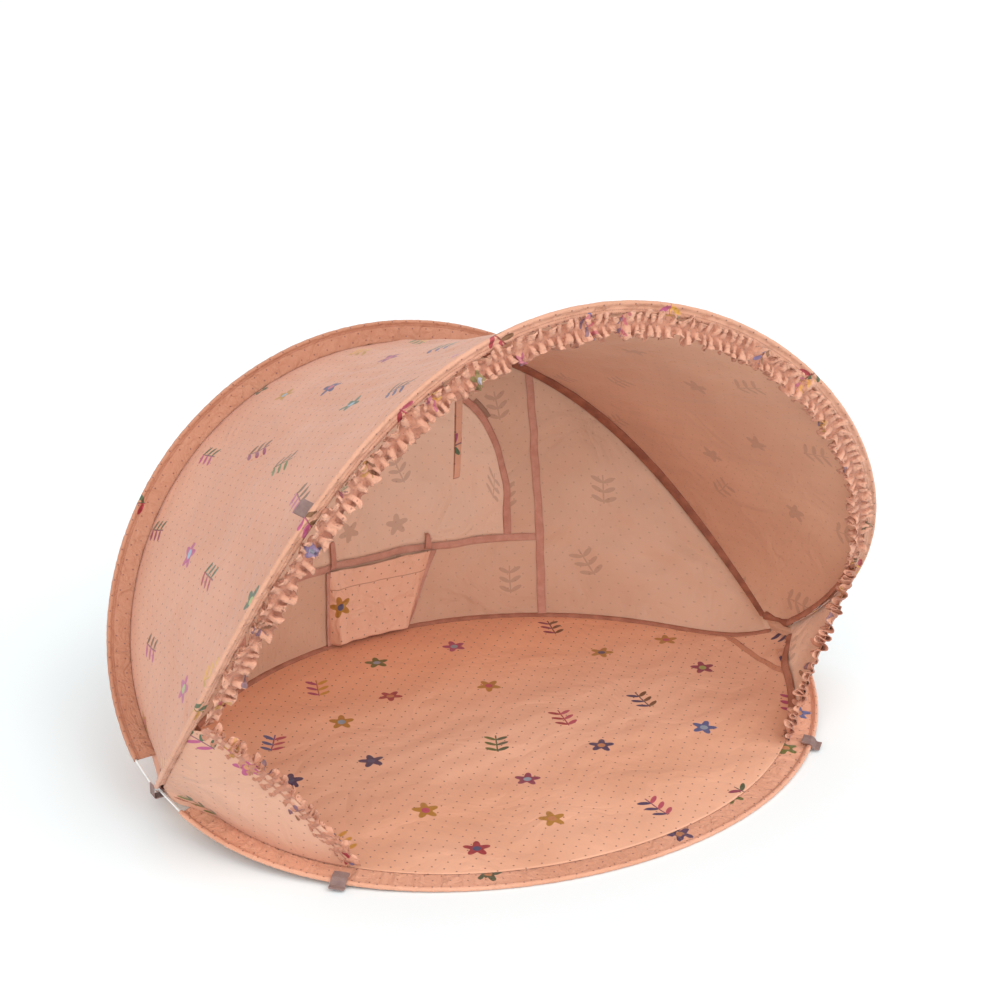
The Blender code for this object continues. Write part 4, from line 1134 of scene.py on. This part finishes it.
def hemmed(height):
    """A stitched hem along the top of a piece, this far below its edge."""

    def paint(tree, flat, colour):
        place = add(tree, "SeparateXYZ", {"Vector": flat}).outputs
        off = calc(tree, "ABSOLUTE", calc(tree, "SUBTRACT", place["Y"], height))
        return mix(tree, fade(tree, off, 0.0012, 0.0002, 0.0, 0.6), colour, rgb("9a5c49"))

    return paint


pocket = cloth("pouch", pocket_place, 96, 56, flat_lengths, (0, -1, 0))
pocket_cloth = printed_cloth("pocket_cloth", "facbb1", "f1bfa3", 0.9, 0.65, 12, 0.0030, 22.0, hemmed(0.036))
clad(pocket, CLOTH_THICKNESS, pocket_cloth)
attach(pocket, "rear_base")
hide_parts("pocket")


def pocket_edge(name, share, side):
    """A binding tape folded over one side of the pocket."""

    def place(across, up):
        centre = pocket_place(np.full_like(up, share), up)
        x = centre[..., 0] + side * 0.009 * (across - 0.5)
        over, height = wall_front(x, centre[..., 2])
        points = wall_place(over, height, 0.0033)
        points[..., 1] -= 0.0010
        return points

    return cloth(name, place, 4, 60, flat_front, (0, -1, 0))


for name, share, side in (("pouch_edge_left", 0.0, -1), ("pouch_edge_right", 1.0, 1)):
    edging = pocket_edge(name, share, side)
    clad(edging, CLOTH_THICKNESS, level_tape)
    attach(edging, "rear_base")


# Ties: two short tapes that are sewn to the sill band and folded over at their tops. The
# right one is knotted down to a small triangle.
def tie(name, x, height, width, tip, slack):
    def place(across, up):
        fold = np.abs(up * 2 - 1)
        z = SILL_TOP - 0.010 + height * (1 - fold)
        narrow = 1 - (1 - tip) * (1 - fold)
        along = x + (across - 0.5) * width * narrow + slack * (1 - fold) ** 2
        share, level_share = wall_front(along, np.full_like(along, SILL_TOP - 0.006))
        points = wall_place(share, level_share, 0.0030)
        front = np.where(up > 0.5, 0.0034, 0.0) * np.minimum(1, (1 - fold) * 6)
        points[..., 1] -= front + 0.004 * (1 - fold)
        points[..., 0] = along
        points[..., 2] = z
        return points

    return cloth(name, place, 6, 40, along_tape, (0, -1, 0))


TIES = (("left", -0.088, 0.052, 0.011, 0.8, -0.004), ("right", 0.088, 0.030, 0.012, 0.5, -0.003))
for name, *facts in TIES:
    tape = tie(f"tie_tape_{name}", *facts)
    clad(tape, CLOTH_THICKNESS, seam_tape)
    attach(tape, "rear_base")
    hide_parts(f"tie_{name}")


# Webbing: flat polyester tape with a plain over and under weave, its threads 1.6 mm apart. It
# makes a tab round the wires at each crossing, a peg loop at each front corner of the floor
# and a guy loop on each side of the roof.
webbing, tree, shader = new_material("webbing_weave", roughness=0.72)
flat, place = wall_coords(tree)
sides = add(tree, "SeparateXYZ", {"Vector": flat}).outputs
turns = [calc(tree, "MULTIPLY", sides[axis], 2 * math.pi / 0.0016) for axis in ("X", "Y")]
basket = calc(tree, "MULTIPLY", *[calc(tree, "SINE", turn) for turn in turns])
worn = noise(tree, place, 90.0, 3.0, 0.6)
colour = mix(tree, fade(tree, worn, 0.3, 0.7), rgb("8c716c"), rgb("a0847d"))
colour = mix(tree, calc(tree, "MULTIPLY_ADD", basket, 0.16, 0.2), colour, rgb("6e4b47"))
tree.links.new(colour, shader.inputs["Base Color"])
height = {"Height": calc(tree, "ADD", basket, worn), "Distance": 0.0005, "Strength": 0.6}
tree.links.new(add(tree, "Bump", height).outputs[0], shader.inputs["Normal"])


def strap(name, route, way, width, thickness, bow=0.0):
    """A flat strap along a smooth route of points, with rounded bends and a slight crown."""
    route = np.array(route, float)
    way = unit(np.array(way, float))
    marks = lengths(route)
    marks = marks / marks[-1]
    fine = np.linspace(0, 1, 161)
    line = np.stack([np.interp(fine, marks, route[:, k]) for k in range(3)], axis=-1)
    for _ in range(4):
        line[1:-1] = (line[:-2] + 2 * line[1:-1] + line[2:]) / 4
    line = line[::2]
    rise = unit(np.cross(np.gradient(line, axis=0), way))

    def place(across, up):
        k = np.rint(across * 80).astype(int)
        side = up * 2 - 1
        crown = bow * (1 - side**2)
        return line[k] + way * (side * width / 2)[..., None] + rise[k] * crown[..., None]

    piece = cloth(name, place, 80, 8, lambda points: along_tape(points)[..., ::-1], (0, 0, 1))
    clad(piece, thickness, webbing)
    edges = piece.modifiers.new("edges", "BEVEL")
    edges.width = thickness * 0.3
    edges.segments = 2
    edges.limit_method = "ANGLE"
    return piece


TAB_REACH = 0.008
spread = TAB_REACH * 0.1295 / 0.5565
skin = 0.00315
outer, inner = 0.5523 + spread + skin, 0.5477 - spread - skin
base = CROSSING_HEIGHT - TAB_REACH * math.tan(sun_angles[0]) - skin - 0.0005
top, bend = CROSSING_HEIGHT + 0.010, 0.002
down_outside = [(outer, top), (outer, base + bend), (outer - bend, base)]
up_inside = [(inner + bend, base), (inner, base + bend), (inner, top)]
for side, name in SIDES:
    route = [(side * x, CROSSING_LINE_Y, z) for x, z in down_outside + up_inside]
    tab = strap(f"crossing_tab_{name}", route, (0, 1, 0), 2 * TAB_REACH, 0.0012)
    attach(tab, "rear_base")
    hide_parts(f"crossing_loop_{name}")

LOOP_WIDTH = 0.022
centre = front_ground.share_of_distance(WING_FOOT_REACH)
radius = 0.0036 + 0.0009 + 0.0013
over_wire = [(0.0125, radius), (-0.0005, radius), (-0.0042, radius * 0.6), (-0.0062, 0.0)]
to_ground = [(-0.0092, -0.0020), (-0.016, GROUND_DROOP + 0.0011)]
for side, name in SIDES:
    middle = centre if side < 0 else 1 - centre
    route = [front_ground.at(middle, n, b) for n, b in over_wire + to_ground]
    span = front_ground.at(middle + 0.01, 0, 0) - front_ground.at(middle - 0.01, 0, 0)
    loop = strap(f"peg_strap_{name}", route, span, LOOP_WIDTH, 0.0024, 0.0004)
    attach(loop, "front_base")
    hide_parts(f"peg_loop_{name}")


def roof_spot(share, across, lap=0.003):
    """One place on the roof."""
    return roof_place(np.array([share]), np.array([across]), lap)[0]


centre = front_arch.share_of_distance(0.572)
lean = math.radians(40)
out_along = [(0.0, 0.0), (0.016, 0.0006), (0.0270, -0.0002), (0.0288, 0.0021)]
back_over = [(0.0270, 0.0045), (0.016, 0.0040), (0.0, 0.0043)]
for side, name in SIDES:
    middle = centre if side < 0 else 1 - centre
    root = roof_spot(middle, 0.995, 0)
    behind = unit(roof_spot(middle, 0.8, 0) - root)
    along = unit(roof_spot(middle + 0.01, 0.9, 0) - roof_spot(middle - 0.01, 0.9, 0))
    out = np.cross(along, behind)
    out *= 1 if out[2] > 0 else -1
    foot = root + behind * 0.0028 + out * 0.0036
    away = behind * math.cos(lean) + out * math.sin(lean)
    above = out * math.cos(lean) - behind * math.sin(lean)
    route = [foot + away * a + above * b for a, b in out_along + back_over]
    loop = strap(f"guy_strap_{name}", route, along, LOOP_WIDTH, 0.0012)
    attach(loop, "front_arch")
    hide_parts(f"guy_loop_{name}")


# Strap: a folded tie of printed cloth that hangs from a square patch sewn under the middle of
# the roof. Its two layers part a little and it turns slightly on the way down.
ahead = unit(roof_spot(0.5, 0.55) - roof_spot(0.5, 0.5))
down = np.cross(ahead, (1, 0, 0))
down *= -1 if down[2] > 0 else 1
patch_box = [np.array(corner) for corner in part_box("strap_patch")]
patch_centre = (patch_box[0] + patch_box[1]) / 2
PATCH_SIZE = 0.031


def patch_place(across, up):
    side = (across - 0.5) * PATCH_SIZE
    run = (up - 0.5) * PATCH_SIZE
    dome = -0.0012 * (1 - (2 * across - 1) ** 2) * (1 - (2 * up - 1) ** 2)
    spots = patch_centre + down * 0.0004 + ahead * run[..., None] + down * dome[..., None]
    spots[..., 0] += side
    return spots


patch = cloth("ceiling_patch", patch_place, 12, 12, flat_lengths, (0, 0, -1))
clad(patch, 0.0008, seam_tape)
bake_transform(patch)
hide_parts("strap_patch")

low, high = [np.array(corner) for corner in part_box("roof_strap")]
hang = (low + high) / 2


def strap_place(across, up):
    """The folded strap: two layers that part slightly towards its lower end."""
    fold = np.abs(up * 2 - 1)
    foot = low[2] + 0.011
    z = foot + (high[2] - 0.0006 - foot) * fold
    part = 0.0011 + 0.0016 * np.sin(math.pi * fold) * (1 - fold)
    side = np.where(up < 0.5, -1, 1)
    sway = 0.0030 * np.sin(2.2 * (1 - fold)) * (1 - fold) - 0.0105 * (1 - fold)
    twist = 0.25 * (1 - fold)
    x = (across - 0.5) * 0.0115
    points = np.stack([x * np.cos(twist) + sway, x * np.sin(twist) + side * part, z], axis=-1)
    points[..., 1] += hang[1]
    points[..., 0] += hang[0]
    return points


strip = cloth("hanging_strap", strap_place, 8, 160, along_tape, (0, -1, 0))
strap_cloth = printed_cloth("strap_cloth", "d79c80", "cb8f74", 0.9, 0.8, 14, 0.0016, 40.0)
clad(strip, CLOTH_THICKNESS, strap_cloth)
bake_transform(strip)
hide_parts("roof_strap")
